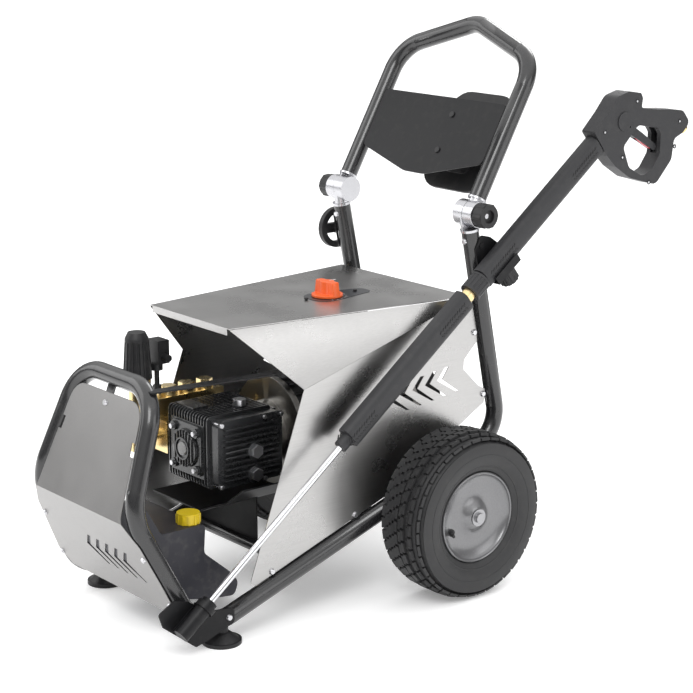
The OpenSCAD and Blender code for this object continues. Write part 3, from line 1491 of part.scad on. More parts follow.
placed() front_hoop();
placed() side_rail_left();
placed() side_rail_right();
placed() cross_tubes();
placed() axle();
placed() feet();
placed() base_plate();
placed() front_panel();
placed() frame_fasteners();
placed() hood_top();
placed() side_panel_left();
placed() side_panel_right();
placed() hood_brace();
placed() switch_label();
placed() switch_knob();
placed() switch_body();
placed() motor_housing();
placed() motor_shields();
placed() fan_cover();
placed() motor_fan();
placed() rotor();
placed() motor_bearings();
placed() crankcase();
placed() crankcase_cover();
placed() bearing_cover();
placed() pump_screws();
placed() plungers();
placed() pump_head();
placed() valve_caps();
placed() unloader_valve();
placed() regulator_knob();
placed() pressure_switch();
placed() detergent_tank();
placed() tank_cap();
placed() lower_elbows();
placed() upper_elbows();
placed() elbow_knob_left();
placed() elbow_knob_right();
placed() handle_tube();
placed() handle_panel();
placed() hose_hook();
placed() tyre_left();
placed() tyre_right();
placed() rim_left();
placed() rim_right();
placed() lance_holder();
placed() holder_knob();
placed() lance_socket();
placed() cable_hook();
placed() lance_pipe();
placed() lance_nozzle();
placed() lance_nipple();
placed() lance_sleeve();
placed() coupling_nut();
placed() gun_sleeve();
placed() gun_shell_left();
placed() gun_shell_right();
placed() gun_valve();
placed() trigger();
placed() trigger_latch();
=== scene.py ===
"""High-pressure cleaner on a two-wheel trolley: finishes, refined parts and studio."""

import json
import logging
import math
from dataclasses import dataclass, field
from enum import Enum

import bmesh
import bpy
from mathutils import Matrix, Vector


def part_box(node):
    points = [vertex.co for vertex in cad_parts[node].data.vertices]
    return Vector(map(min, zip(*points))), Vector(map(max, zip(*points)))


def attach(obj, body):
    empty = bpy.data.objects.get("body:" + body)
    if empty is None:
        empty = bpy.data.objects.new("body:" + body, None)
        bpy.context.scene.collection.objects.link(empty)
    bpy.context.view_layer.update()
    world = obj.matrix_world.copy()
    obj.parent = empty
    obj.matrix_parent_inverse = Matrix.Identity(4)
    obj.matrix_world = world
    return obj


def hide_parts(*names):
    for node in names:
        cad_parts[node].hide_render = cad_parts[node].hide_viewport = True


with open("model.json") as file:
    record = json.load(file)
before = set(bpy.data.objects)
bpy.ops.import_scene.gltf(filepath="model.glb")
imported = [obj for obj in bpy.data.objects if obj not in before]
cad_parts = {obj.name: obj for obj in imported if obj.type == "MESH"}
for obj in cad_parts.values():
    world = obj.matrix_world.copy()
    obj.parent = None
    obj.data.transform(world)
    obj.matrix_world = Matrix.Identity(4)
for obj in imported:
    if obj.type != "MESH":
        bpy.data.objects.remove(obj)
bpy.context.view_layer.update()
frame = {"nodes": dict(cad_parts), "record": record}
LOG = logging.getLogger("cleaner")
MM = 0.001
MERGE = 2e-6
FLAT = 0.6
BRUSH_STRETCH = 0.012
BUMP_DEPTH = 0.0004


class Texture(Enum):
    """Kinds of surface relief."""

    SMOOTH = "smooth"
    BRUSHED = "brushed"
    CAST = "cast"
    GRAIN = "grain"
    PEEL = "peel"


@dataclass(frozen=True)
class Finish:
    """One finish of the machine, from which a material is made."""

    name: str
    colour: tuple[float, float, float]
    roughness: float
    metallic: float = 0.0
    texture: Texture = Texture.SMOOTH
    relief: float = 0.1
    scale: float = 400.0
    coat: float = 0.0
    variation: float = 0.08
    dust: float = 0.12
    specular: float = 0.5

    def material(self, groups: "SurfaceGroups") -> bpy.types.Material:
        """Builds the material.

        Args:
            groups: The shared node groups.

        Returns:
            The finished material.
        """
        made = bpy.data.materials.new(self.name)
        made.use_nodes = True
        made.diffuse_color = (*self.colour, 1.0)
        tree = made.node_tree
        shader = tree.nodes["Principled BSDF"]
        shader.inputs["Metallic"].default_value = self.metallic
        shader.inputs["Coat Weight"].default_value = self.coat
        shader.inputs["Coat Roughness"].default_value = 0.12
        shader.inputs["Specular IOR Level"].default_value = self.specular
        where = tree.nodes.new("ShaderNodeTexCoord")
        surface = tree.nodes.new("ShaderNodeGroup")
        surface.node_tree = groups.surface
        surface.inputs["Colour"].default_value = (*self.colour, 1.0)
        surface.inputs["Roughness"].default_value = self.roughness
        surface.inputs["Variation"].default_value = self.variation
        surface.inputs["Dust"].default_value = self.dust
        relief = tree.nodes.new("ShaderNodeGroup")
        relief.node_tree = groups.relief[self.texture]
        relief.inputs["Scale"].default_value = self.scale
        relief.inputs["Strength"].default_value = self.relief
        tree.links.new(where.outputs["Object"], surface.inputs["Vector"])
        tree.links.new(where.outputs["Object"], relief.inputs["Vector"])
        tree.links.new(relief.outputs["Height"], surface.inputs["Grain"])
        tree.links.new(surface.outputs["Colour"], shader.inputs["Base Color"])
        tree.links.new(surface.outputs["Roughness"], shader.inputs["Roughness"])
        tree.links.new(relief.outputs["Normal"], shader.inputs["Normal"])
        return made


class SurfaceGroups:
    """The shader groups that every finish shares."""

    def __init__(self) -> None:
        """Builds one group for colour and roughness and one for each relief."""
        self.surface = self._surface()
        self.relief = {kind: self._relief(kind) for kind in Texture}

    @staticmethod
    def _group(name: str, inputs: dict[str, str], outputs: dict[str, str]) -> bpy.types.NodeTree:
        """Makes an empty group with its sockets.

        Args:
            name: Name of the group.
            inputs: Socket type of each input.
            outputs: Socket type of each output.

        Returns:
            The group.
        """
        group = bpy.data.node_groups.new(name, "ShaderNodeTree")
        for socket, kind in inputs.items():
            group.interface.new_socket(socket, in_out="INPUT", socket_type=kind)
        for socket, kind in outputs.items():
            group.interface.new_socket(socket, in_out="OUTPUT", socket_type=kind)
        group.nodes.new("NodeGroupInput").name = "In"
        group.nodes.new("NodeGroupOutput").name = "Out"
        return group

    def _surface(self) -> bpy.types.NodeTree:
        """Colour with soft blotches, and dust in scattered specks.

        Returns:
            The group.
        """
        group = self._group(
            "surface",
            {"Vector": "NodeSocketVector", "Colour": "NodeSocketColor", "Roughness": "NodeSocketFloat",
             "Variation": "NodeSocketFloat", "Dust": "NodeSocketFloat", "Grain": "NodeSocketFloat"},
            {"Colour": "NodeSocketColor", "Roughness": "NodeSocketFloat"},
        )
        nodes, links = group.nodes, group.links
        source, sink = nodes["In"], nodes["Out"]
        blotch = nodes.new("ShaderNodeTexNoise")
        blotch.inputs["Scale"].default_value = 9.0
        blotch.inputs["Detail"].default_value = 6.0
        links.new(source.outputs["Vector"], blotch.inputs["Vector"])
        shift = nodes.new("ShaderNodeMath")
        shift.operation = "SUBTRACT"
        shift.inputs[1].default_value = 0.5
        links.new(blotch.outputs["Fac"], shift.inputs[0])
        spread = nodes.new("ShaderNodeMath")
        spread.operation = "MULTIPLY"
        links.new(shift.outputs[0], spread.inputs[0])
        links.new(source.outputs["Variation"], spread.inputs[1])
        grain = nodes.new("ShaderNodeMath")
        grain.operation = "MULTIPLY_ADD"
        grain.inputs[1].default_value = 0.25
        links.new(source.outputs["Grain"], grain.inputs[0])
        links.new(spread.outputs[0], grain.inputs[2])
        value = nodes.new("ShaderNodeMath")
        value.operation = "ADD"
        value.inputs[1].default_value = 1.0
        links.new(grain.outputs[0], value.inputs[0])
        tone = nodes.new("ShaderNodeHueSaturation")
        links.new(value.outputs[0], tone.inputs["Value"])
        links.new(source.outputs["Colour"], tone.inputs["Color"])
        speck = nodes.new("ShaderNodeTexNoise")
        speck.inputs["Scale"].default_value = 60.0
        speck.inputs["Detail"].default_value = 8.0
        links.new(source.outputs["Vector"], speck.inputs["Vector"])
        settle = nodes.new("ShaderNodeMapRange")
        settle.inputs["From Min"].default_value = 0.52
        settle.inputs["From Max"].default_value = 0.78
        links.new(speck.outputs["Fac"], settle.inputs["Value"])
        film = nodes.new("ShaderNodeMath")
        film.operation = "MULTIPLY"
        links.new(settle.outputs[0], film.inputs[0])
        links.new(source.outputs["Dust"], film.inputs[1])
        dusty = nodes.new("ShaderNodeMix")
        dusty.data_type = "RGBA"
        dusty.inputs["B"].default_value = (0.32, 0.3, 0.27, 1.0)
        links.new(film.outputs[0], dusty.inputs["Factor"])
        links.new(tone.outputs["Color"], dusty.inputs["A"])
        links.new(dusty.outputs["Result"], sink.inputs["Colour"])
        rough = nodes.new("ShaderNodeMath")
        rough.operation = "MULTIPLY_ADD"
        rough.inputs[1].default_value = 1.4
        rough.use_clamp = True
        links.new(spread.outputs[0], rough.inputs[0])
        links.new(source.outputs["Roughness"], rough.inputs[2])
        rougher = nodes.new("ShaderNodeMath")
        rougher.use_clamp = True
        links.new(rough.outputs[0], rougher.inputs[0])
        links.new(film.outputs[0], rougher.inputs[1])
        links.new(rougher.outputs[0], sink.inputs["Roughness"])
        return group

    def _relief(self, kind: Texture) -> bpy.types.NodeTree:
        """Bump of one kind, and the height that it came from.

        Args:
            kind: The relief.

        Returns:
            The group.
        """
        group = self._group(
            f"relief_{kind.value}",
            {"Vector": "NodeSocketVector", "Scale": "NodeSocketFloat", "Strength": "NodeSocketFloat"},
            {"Height": "NodeSocketFloat", "Normal": "NodeSocketVector"},
        )
        nodes, links = group.nodes, group.links
        source, sink = nodes["In"], nodes["Out"]
        place = nodes.new("ShaderNodeMapping")
        stretch = BRUSH_STRETCH if kind is Texture.BRUSHED else 1.0
        place.inputs["Scale"].default_value = (1.0, stretch, 1.0)
        links.new(source.outputs["Vector"], place.inputs["Vector"])
        if kind is Texture.GRAIN:
            pattern = nodes.new("ShaderNodeTexVoronoi")
            pattern.feature = "SMOOTH_F1"
            out = pattern.outputs["Distance"]
        else:
            pattern = nodes.new("ShaderNodeTexNoise")
            pattern.inputs["Detail"].default_value = {Texture.CAST: 8.0, Texture.BRUSHED: 4.0}.get(kind, 1.0)
            out = pattern.outputs["Fac"]
        links.new(place.outputs[0], pattern.inputs["Vector"])
        links.new(source.outputs["Scale"], pattern.inputs["Scale"])
        centred = nodes.new("ShaderNodeMath")
        centred.operation = "SUBTRACT"
        centred.inputs[1].default_value = 0.5
        links.new(out, centred.inputs[0])
        links.new(centred.outputs[0], sink.inputs["Height"])
        bump = nodes.new("ShaderNodeBump")
        bump.inputs["Distance"].default_value = BUMP_DEPTH
        links.new(source.outputs["Strength"], bump.inputs["Strength"])
        links.new(out, bump.inputs["Height"])
        links.new(bump.outputs[0], sink.inputs["Normal"])
        return group


FINISHES: dict[str, Finish] = {
    "tube_black": Finish("tube_black", (0.016, 0.016, 0.017), 0.24, texture=Texture.PEEL, relief=0.08,
                         scale=260.0, coat=0.4, dust=0.03),
    "zinc": Finish("zinc", (0.62, 0.62, 0.64), 0.28, 1.0, Texture.CAST, 0.05, 900.0, dust=0.05),
    "steel_dark": Finish("steel_dark", (0.34, 0.34, 0.35), 0.3, 1.0, Texture.CAST, 0.08, 700.0),
    "stainless": Finish("stainless", (0.44, 0.435, 0.43), 0.29, 1.0, Texture.BRUSHED, 0.2, 900.0,
                        variation=0.16, dust=0.02),
    "panel_grey": Finish("panel_grey", (0.3, 0.295, 0.292), 0.34, 0.85, Texture.BRUSHED, 0.1, 900.0,
                         variation=0.1, dust=0.03),
    "sheet_black": Finish("sheet_black", (0.008, 0.008, 0.009), 0.4, texture=Texture.PEEL, relief=0.1,
                          scale=500.0, dust=0.02, specular=0.22),
    "motor_grey": Finish("motor_grey", (0.05, 0.051, 0.054), 0.42, 0.3, Texture.CAST, 0.3, 380.0, dust=0.08),
    "pump_grey": Finish("pump_grey", (0.03, 0.031, 0.033), 0.27, 0.35, Texture.CAST, 0.18, 420.0, coat=0.4,
                        dust=0.04),
    "cast_zinc": Finish("cast_zinc", (0.52, 0.52, 0.54), 0.24, 0.95, Texture.CAST, 0.2, 450.0, dust=0.04),
    "brass": Finish("brass", (0.78, 0.62, 0.33), 0.27, 1.0, Texture.CAST, 0.1, 600.0, variation=0.1,
                    dust=0.04),
    "ceramic": Finish("ceramic", (0.86, 0.85, 0.82), 0.12, dust=0.0),
    "black_plastic": Finish("black_plastic", (0.015, 0.015, 0.016), 0.45, texture=Texture.GRAIN, relief=0.2,
                            scale=1300.0, dust=0.04, specular=0.35),
    "grey_plastic": Finish("grey_plastic", (0.026, 0.026, 0.028), 0.46, texture=Texture.GRAIN, relief=0.2,
                           scale=1400.0, dust=0.03, specular=0.35),
    "orange_plastic": Finish("orange_plastic", (0.8, 0.12, 0.02), 0.35, texture=Texture.GRAIN, relief=0.1,
                             scale=1200.0, dust=0.03),
    "yellow_plastic": Finish("yellow_plastic", (0.68, 0.5, 0.012), 0.38, texture=Texture.GRAIN, relief=0.1,
                             scale=1200.0, dust=0.05),
    "red_plastic": Finish("red_plastic", (0.62, 0.02, 0.05), 0.35, texture=Texture.GRAIN, relief=0.1,
                          scale=1200.0, dust=0.02),
    "tank_plastic": Finish("tank_plastic", (0.014, 0.014, 0.022), 0.42, texture=Texture.GRAIN, relief=0.2,
                           scale=900.0),
    "tyre": Finish("tyre", (0.017, 0.017, 0.018), 0.55, texture=Texture.CAST, relief=0.12, scale=500.0,
                   variation=0.1, dust=0.03),
    "rim": Finish("rim", (0.17, 0.17, 0.175), 0.3, 0.6, Texture.PEEL, 0.08, 300.0, coat=0.5, dust=0.03),
    "chrome": Finish("chrome", (0.72, 0.72, 0.74), 0.13, 1.0, Texture.CAST, 0.03, 800.0, dust=0.03),
    "fan_white": Finish("fan_white", (0.62, 0.62, 0.59), 0.5),
    "label": Finish("label", (0.02, 0.022, 0.026), 0.3, coat=0.3, dust=0.02),
    "alu": Finish("alu", (0.42, 0.41, 0.39), 0.3, 1.0, Texture.CAST, 0.1, 500.0, dust=0.05),
    "disc_grey": Finish("disc_grey", (0.42, 0.42, 0.42), 0.45, texture=Texture.GRAIN, relief=0.1, dust=0.03),
    "mark_white": Finish("mark_white", (0.75, 0.75, 0.73), 0.4, dust=0.0),
}


@dataclass
class Workshop:
    """Makes meshes into pieces of the machine and dresses them."""

    groups: SurfaceGroups = field(default_factory=SurfaceGroups)
    materials: dict[str, bpy.types.Material] = field(default_factory=dict)

    def finish(self, name: str) -> bpy.types.Material:
        """Material of a finish, made on its first use.

        Args:
            name: Name of the finish.

        Returns:
            The material.
        """
        if name not in self.materials:
            self.materials[name] = FINISHES[name].material(self.groups)
        return self.materials[name]

    def piece(self, name: str, shape: bmesh.types.BMesh, body: str, finish: str, smooth: float = 35.0,
              bevel: float = 0.0, segments: int = 2) -> bpy.types.Object:
        """Turns a bmesh into a piece that rides on a body.

        Args:
            name: Name of the piece.
            shape: The bmesh, which is freed.
            body: Body that it rides on.
            finish: Name of its finish.
            smooth: Angle in degrees below which edges are shaded smooth.
            bevel: Width of the rounded edges in metres.
            segments: Steps in each rounded edge.

        Returns:
            The piece.
        """
        bmesh.ops.recalc_face_normals(shape, faces=shape.faces[:])
        mesh = bpy.data.meshes.new(name)
        shape.to_mesh(mesh)
        shape.free()
        return self.place(name, mesh, body, finish, smooth, bevel, segments)

    def place(self, name: str, mesh: bpy.types.Mesh, body: str, finish: str, smooth: float, bevel: float,
              segments: int) -> bpy.types.Object:
        """Links a mesh as a piece, with its edges rounded and its shading set.

        Args:
            name: Name of the piece.
            mesh: Its mesh.
            body: Body that it rides on.
            finish: Name of its finish.
            smooth: Angle in degrees below which edges are shaded smooth.
            bevel: Width of the rounded edges in metres.
            segments: Steps in each rounded edge.

        Returns:
            The piece.
        """
        made = bpy.data.objects.new(name, mesh)
        bpy.context.scene.collection.objects.link(made)
        mesh.materials.clear()
        mesh.materials.append(self.finish(finish))
        for polygon in mesh.polygons:
            polygon.use_smooth = True
        mesh.set_sharp_from_angle(angle=math.radians(smooth))
        if bevel > 0:
            rounding = made.modifiers.new("rounding", "BEVEL")
            rounding.width = bevel
            rounding.segments = segments
            rounding.limit_method = "ANGLE"
            rounding.angle_limit = math.radians(smooth)
            rounding.harden_normals = True
        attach(made, body)
        LOG.info("piece %s: %d faces", name, len(mesh.polygons))
        return made

    def refine(self, node: str, bevel: float, segments: int = 2, finish: str = "",
               smooth: float = 32.0) -> bpy.types.Object:
        """Replaces a CAD node with a merged copy that has rounded edges.

        Args:
            node: Name of the CAD node.
            bevel: Width of the rounded edges in metres.
            segments: Steps in each rounded edge.
            finish: Name of the finish, or the node's own slot.
            smooth: Angle in degrees below which edges are shaded smooth.

        Returns:
            The refined piece.
        """
        shape = bmesh.new()
        shape.from_mesh(frame["nodes"][node].data)
        bmesh.ops.remove_doubles(shape, verts=shape.verts[:], dist=MERGE)
        bmesh.ops.dissolve_limit(shape, angle_limit=math.radians(FLAT), verts=shape.verts[:],
                                 edges=shape.edges[:])
        mesh = bpy.data.meshes.new(f"{node}_refined")
        shape.to_mesh(mesh)
        shape.free()
        made = self.place(f"{node}_refined", mesh, body_of(node), finish or slot_of(node), smooth, bevel,
                          segments)
        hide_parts(node)
        return made


def body_of(node: str) -> str:
    """Name of the body that holds a node."""
    bodies = frame["record"]["behaviour"]["bodies"]
    return next(body for body, members in bodies.items() if node in members)


def slot_of(node: str) -> str:
    """Material slot of a node."""
    return next(p["material_slot"] for p in frame["record"]["subparts"] if p["node"] == node)


def basis(origin: Vector, along: Vector, side: Vector) -> Matrix:
    """Matrix that carries +Z onto a direction and +X onto a side.

    Args:
        origin: Where the local origin goes.
        along: Where +Z goes.
        side: Roughly where +X goes.

    Returns:
        The matrix.
    """
    z = along.normalized()
    y = z.cross(side).normalized()
    x = y.cross(z)
    made = Matrix((x, y, z)).transposed().to_4x4()
    made.translation = origin
    return made


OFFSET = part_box("base_plate")[0].y + 0.43


def at(x: float, y: float, z: float) -> Vector:
    """A point of the machine: millimetres from the axle's middle, on the floor."""
    return Vector((x * MM, y * MM + OFFSET, z * MM))


def lathe(shape: bmesh.types.BMesh, profile: list[tuple[float, float]], place: Matrix,
          steps: int = 48) -> list[bmesh.types.BMVert]:
    """Turns an open profile of (radius, height) in metres about +Z.

    Args:
        shape: The bmesh that it is added to.
        profile: Points from one end to the other.
        place: Where the local frame goes.
        steps: Steps in the turn.

    Returns:
        The new vertices.
    """
    before = set(shape.verts)
    line = [shape.verts.new((radius, 0.0, height)) for radius, height in profile]
    edges = [shape.edges.new(pair) for pair in zip(line, line[1:])]
    bmesh.ops.spin(shape, geom=line + edges, cent=(0, 0, 0), axis=(0, 0, 1), angle=math.tau,
                   steps=steps, use_merge=True)
    made = [v for v in shape.verts if v not in before]
    bmesh.ops.remove_doubles(shape, verts=made, dist=1e-6)
    made = [v for v in shape.verts if v not in before]
    bmesh.ops.transform(shape, matrix=place, verts=made)
    return made


def block(shape: bmesh.types.BMesh, size: tuple[float, float, float], place: Matrix,
          taper: float = 1.0) -> list[bmesh.types.BMVert]:
    """A block on its local floor, narrower at the top by a factor.

    Args:
        shape: The bmesh that it is added to.
        size: Its sizes in metres.
        place: Where the local frame goes.
        taper: Size of the top over that of the bottom.

    Returns:
        The new vertices.
    """
    made = bmesh.ops.create_cube(shape, size=1.0)["verts"]
    bmesh.ops.translate(shape, vec=(0, 0, 0.5), verts=made)
    bmesh.ops.scale(shape, vec=size, verts=made)
    top = [v for v in made if v.co.z > size[2] / 2]
    bmesh.ops.scale(shape, vec=(taper, taper, 1.0), verts=top)
    bmesh.ops.transform(shape, matrix=place, verts=made)
    return made


def disc(shape: bmesh.types.BMesh, radius: float, height: float, place: Matrix, steps: int = 32,
         crown: float = 0.0) -> list[bmesh.types.BMVert]:
    """A round button on its local floor, with a rounded rim.

    Args:
        shape: The bmesh that it is added to.
        radius: Its radius in metres.
        height: Its height in metres.
        place: Where the local frame goes.
        steps: Steps round it.
        crown: Extra height in the middle.

    Returns:
        The new vertices.
    """
    lip = min(radius, height) * 0.3
    profile = [(0.0, 0.0), (radius, 0.0), (radius, height - lip), (radius - lip * 0.3, height - lip * 0.3),
               (radius - lip, height), (radius * 0.5, height + crown * 0.75), (0.0, height + crown)]
    return lathe(shape, profile, place, steps)


@dataclass
class Assembly:
    """A group of CAD nodes that are refined together."""

    shop: Workshop

    def refine_all(self, widths: dict[str, float], segments: int = 2, smooth: float = 32.0) -> None:
        """Refines several nodes.

        Args:
            widths: Width of the rounded edges of each node, in millimetres.
            segments: Steps in each rounded edge.
            smooth: Angle below which edges are shaded smooth.
        """
        for node, width in widths.items():
            self.shop.refine(node, width * MM, segments, smooth=smooth)


@dataclass
class Trolley(Assembly):
    """Tubular frame, base plate and fasteners."""

    bead: float = 2.2
    cross_ys: tuple[float, float] = (-330.0, -150.0)
    cross_r: float = 12.5

    def build(self) -> None:
        """Builds the frame."""
        self.refine_all({"front_hoop": 0.0, "side_rail_left": 0.0, "side_rail_right": 0.0, "cross_tubes": 0.0,
                         "axle": 0.4, "feet": 1.2, "base_plate": 0.6, "front_panel": 0.5,
                         "frame_fasteners": 0.45}, smooth=36.0)
        self.welds()

    def welds(self) -> None:
        """Weld beads where the cross tubes meet the rails."""
        shape = bmesh.new()
        low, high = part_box("cross_tubes")
        for y in self.cross_ys:
            for side, x in ((1, high.x), (-1, low.x)):
                z = self.tube_height(y)
                place = basis(Vector((x - side * 1.5 * MM, at(0, y, 0).y, z)), Vector((side, 0, 0)),
                              Vector((0, 1, 0)))
                self.weld_ring(shape, place, self.cross_r * MM)
        self.shop.piece("frame_welds", shape, "trolley", "tube_black", smooth=60.0)

    def weld_ring(self, shape: bmesh.types.BMesh, place: Matrix, radius: float) -> None:
        """A ring of overlapping beads round a tube.

        Args:
            shape: The bmesh that it is added to.
            place: Where the tube's end is.
            radius: Radius of the tube.
        """
        count = 34
        for i in range(count):
            turn = Matrix.Rotation(math.tau * i / count, 4, "Z")
            spot = place @ turn @ Matrix.Translation((radius, 0, 0)) @ Matrix.Diagonal((1, 0.75, 1, 1))
            bmesh.ops.create_icosphere(shape, subdivisions=2, radius=self.bead * MM, matrix=spot)

    @staticmethod
    def tube_height(y: float) -> float:
        """Height of a cross tube's middle, in metres, from its own vertices."""
        target = at(0, y, 0).y
        heights = [v.co.z for v in frame["nodes"]["cross_tubes"].data.vertices if abs(v.co.y - target) < 0.02]
        return (min(heights) + max(heights)) / 2


@dataclass
class Cover(Assembly):
    """Folded hood with the switch."""

    switch_x: float = 28.0
    switch_y: float = -130.0
    ring_r: float = 37.5
    ticks: int = 9

    def build(self) -> None:
        """Builds the hood and the switch."""
        self.refine_all({"hood_top": 0.35, "side_panel_left": 0.35, "side_panel_right": 0.35,
                         "hood_brace": 0.5, "switch_label": 0.3, "switch_knob": 1.0, "switch_body": 1.0})
        self.switch_marks()

    def switch_marks(self) -> None:
        """Ticks on the plate round the switch, and a pointer on its knob."""
        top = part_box("switch_label")[1].z - 0.05 * MM
        middle = at(self.switch_x, self.switch_y, 0)
        marks, pointer = bmesh.new(), bmesh.new()
        for i in range(self.ticks):
            turn = Matrix.Rotation(math.radians(-22.5 + 135 * i / (self.ticks - 1)), 4, "Z")
            long = 4.5 if i % 4 == 0 else 2.6
            spot = Matrix.Translation((middle.x, middle.y, top)) @ turn
            out = Matrix.Translation((self.ring_r * MM, 0, 0))
            block(marks, (long * MM, 1.1 * MM, 0.25 * MM), spot @ out)
        self.shop.piece("switch_ticks", marks, "trolley", "mark_white", smooth=30.0)
        low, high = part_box("switch_knob")
        spot = Matrix.Translation(((low.x + high.x) / 2, (low.y + high.y) / 2, high.z - 0.3 * MM))
        block(pointer, (1.6 * MM, 15.0 * MM, 0.6 * MM), spot @ Matrix.Translation((0, 13.5 * MM, 0)))
        self.shop.piece("switch_pointer", pointer, "switch_dial", "mark_white", smooth=30.0)


@dataclass
class Motor(Assembly):
    """Finned motor with its fan."""

    def build(self) -> None:
        """Builds the motor."""
        self.refine_all({"motor_housing": 0.5, "fan_cover": 0.6, "motor_fan": 0.5, "rotor": 0.4,
                         "motor_bearings": 0.4})
        self.shop.refine("motor_shields", 0.8 * MM, finish="alu")


@dataclass
class Pump(Assembly):
    """Crankcase, head, valves and fittings."""

    shaft_z: float = 314.0
    disc_r: float = 13.0
    disc_h: float = 3.0

    def build(self) -> None:
        """Builds the pump."""
        self.refine_all({"crankcase": 0.9, "crankcase_cover": 0.7, "bearing_cover": 0.9, "pump_screws": 0.45,
                         "plungers": 0.3, "pump_head": 1.0, "valve_caps": 0.5, "unloader_valve": 0.5,
                         "regulator_knob": 1.0, "pressure_switch": 0.8})
        self.sight_disc()

    def sight_disc(self) -> None:
        """Pale disc in the middle of the bearing cover."""
        low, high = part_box("bearing_cover")
        face = Vector(((low.x + high.x) / 2, low.y - 0.6 * MM, self.shaft_z * MM))
        root = face + Vector((0, self.disc_h * MM, 0))
        shape = bmesh.new()
        disc(shape, self.disc_r * MM, self.disc_h * MM, basis(root, Vector((0, -1, 0)), Vector((1, 0, 0))),
             40, 0.5 * MM)
        self.shop.piece("pump_disc", shape, "trolley", "disc_grey", smooth=40.0)


@dataclass
class Tank(Assembly):
    """Detergent tank."""

    def build(self) -> None:
        """Builds the tank and its cap."""
        self.refine_all({"detergent_tank": 1.6, "tank_cap": 1.0}, segments=3)


@dataclass
class Handle(Assembly):
    """Folding handle with its joints and hooks."""

    def build(self) -> None:
        """Builds the handle."""
        self.refine_all({"lower_elbows": 1.0, "upper_elbows": 1.0, "elbow_knob_left": 1.2,
                         "elbow_knob_right": 1.2, "handle_tube": 0.0, "handle_panel": 0.5, "hose_hook": 1.2,
                         "cable_hook": 1.2}, segments=3, smooth=36.0)


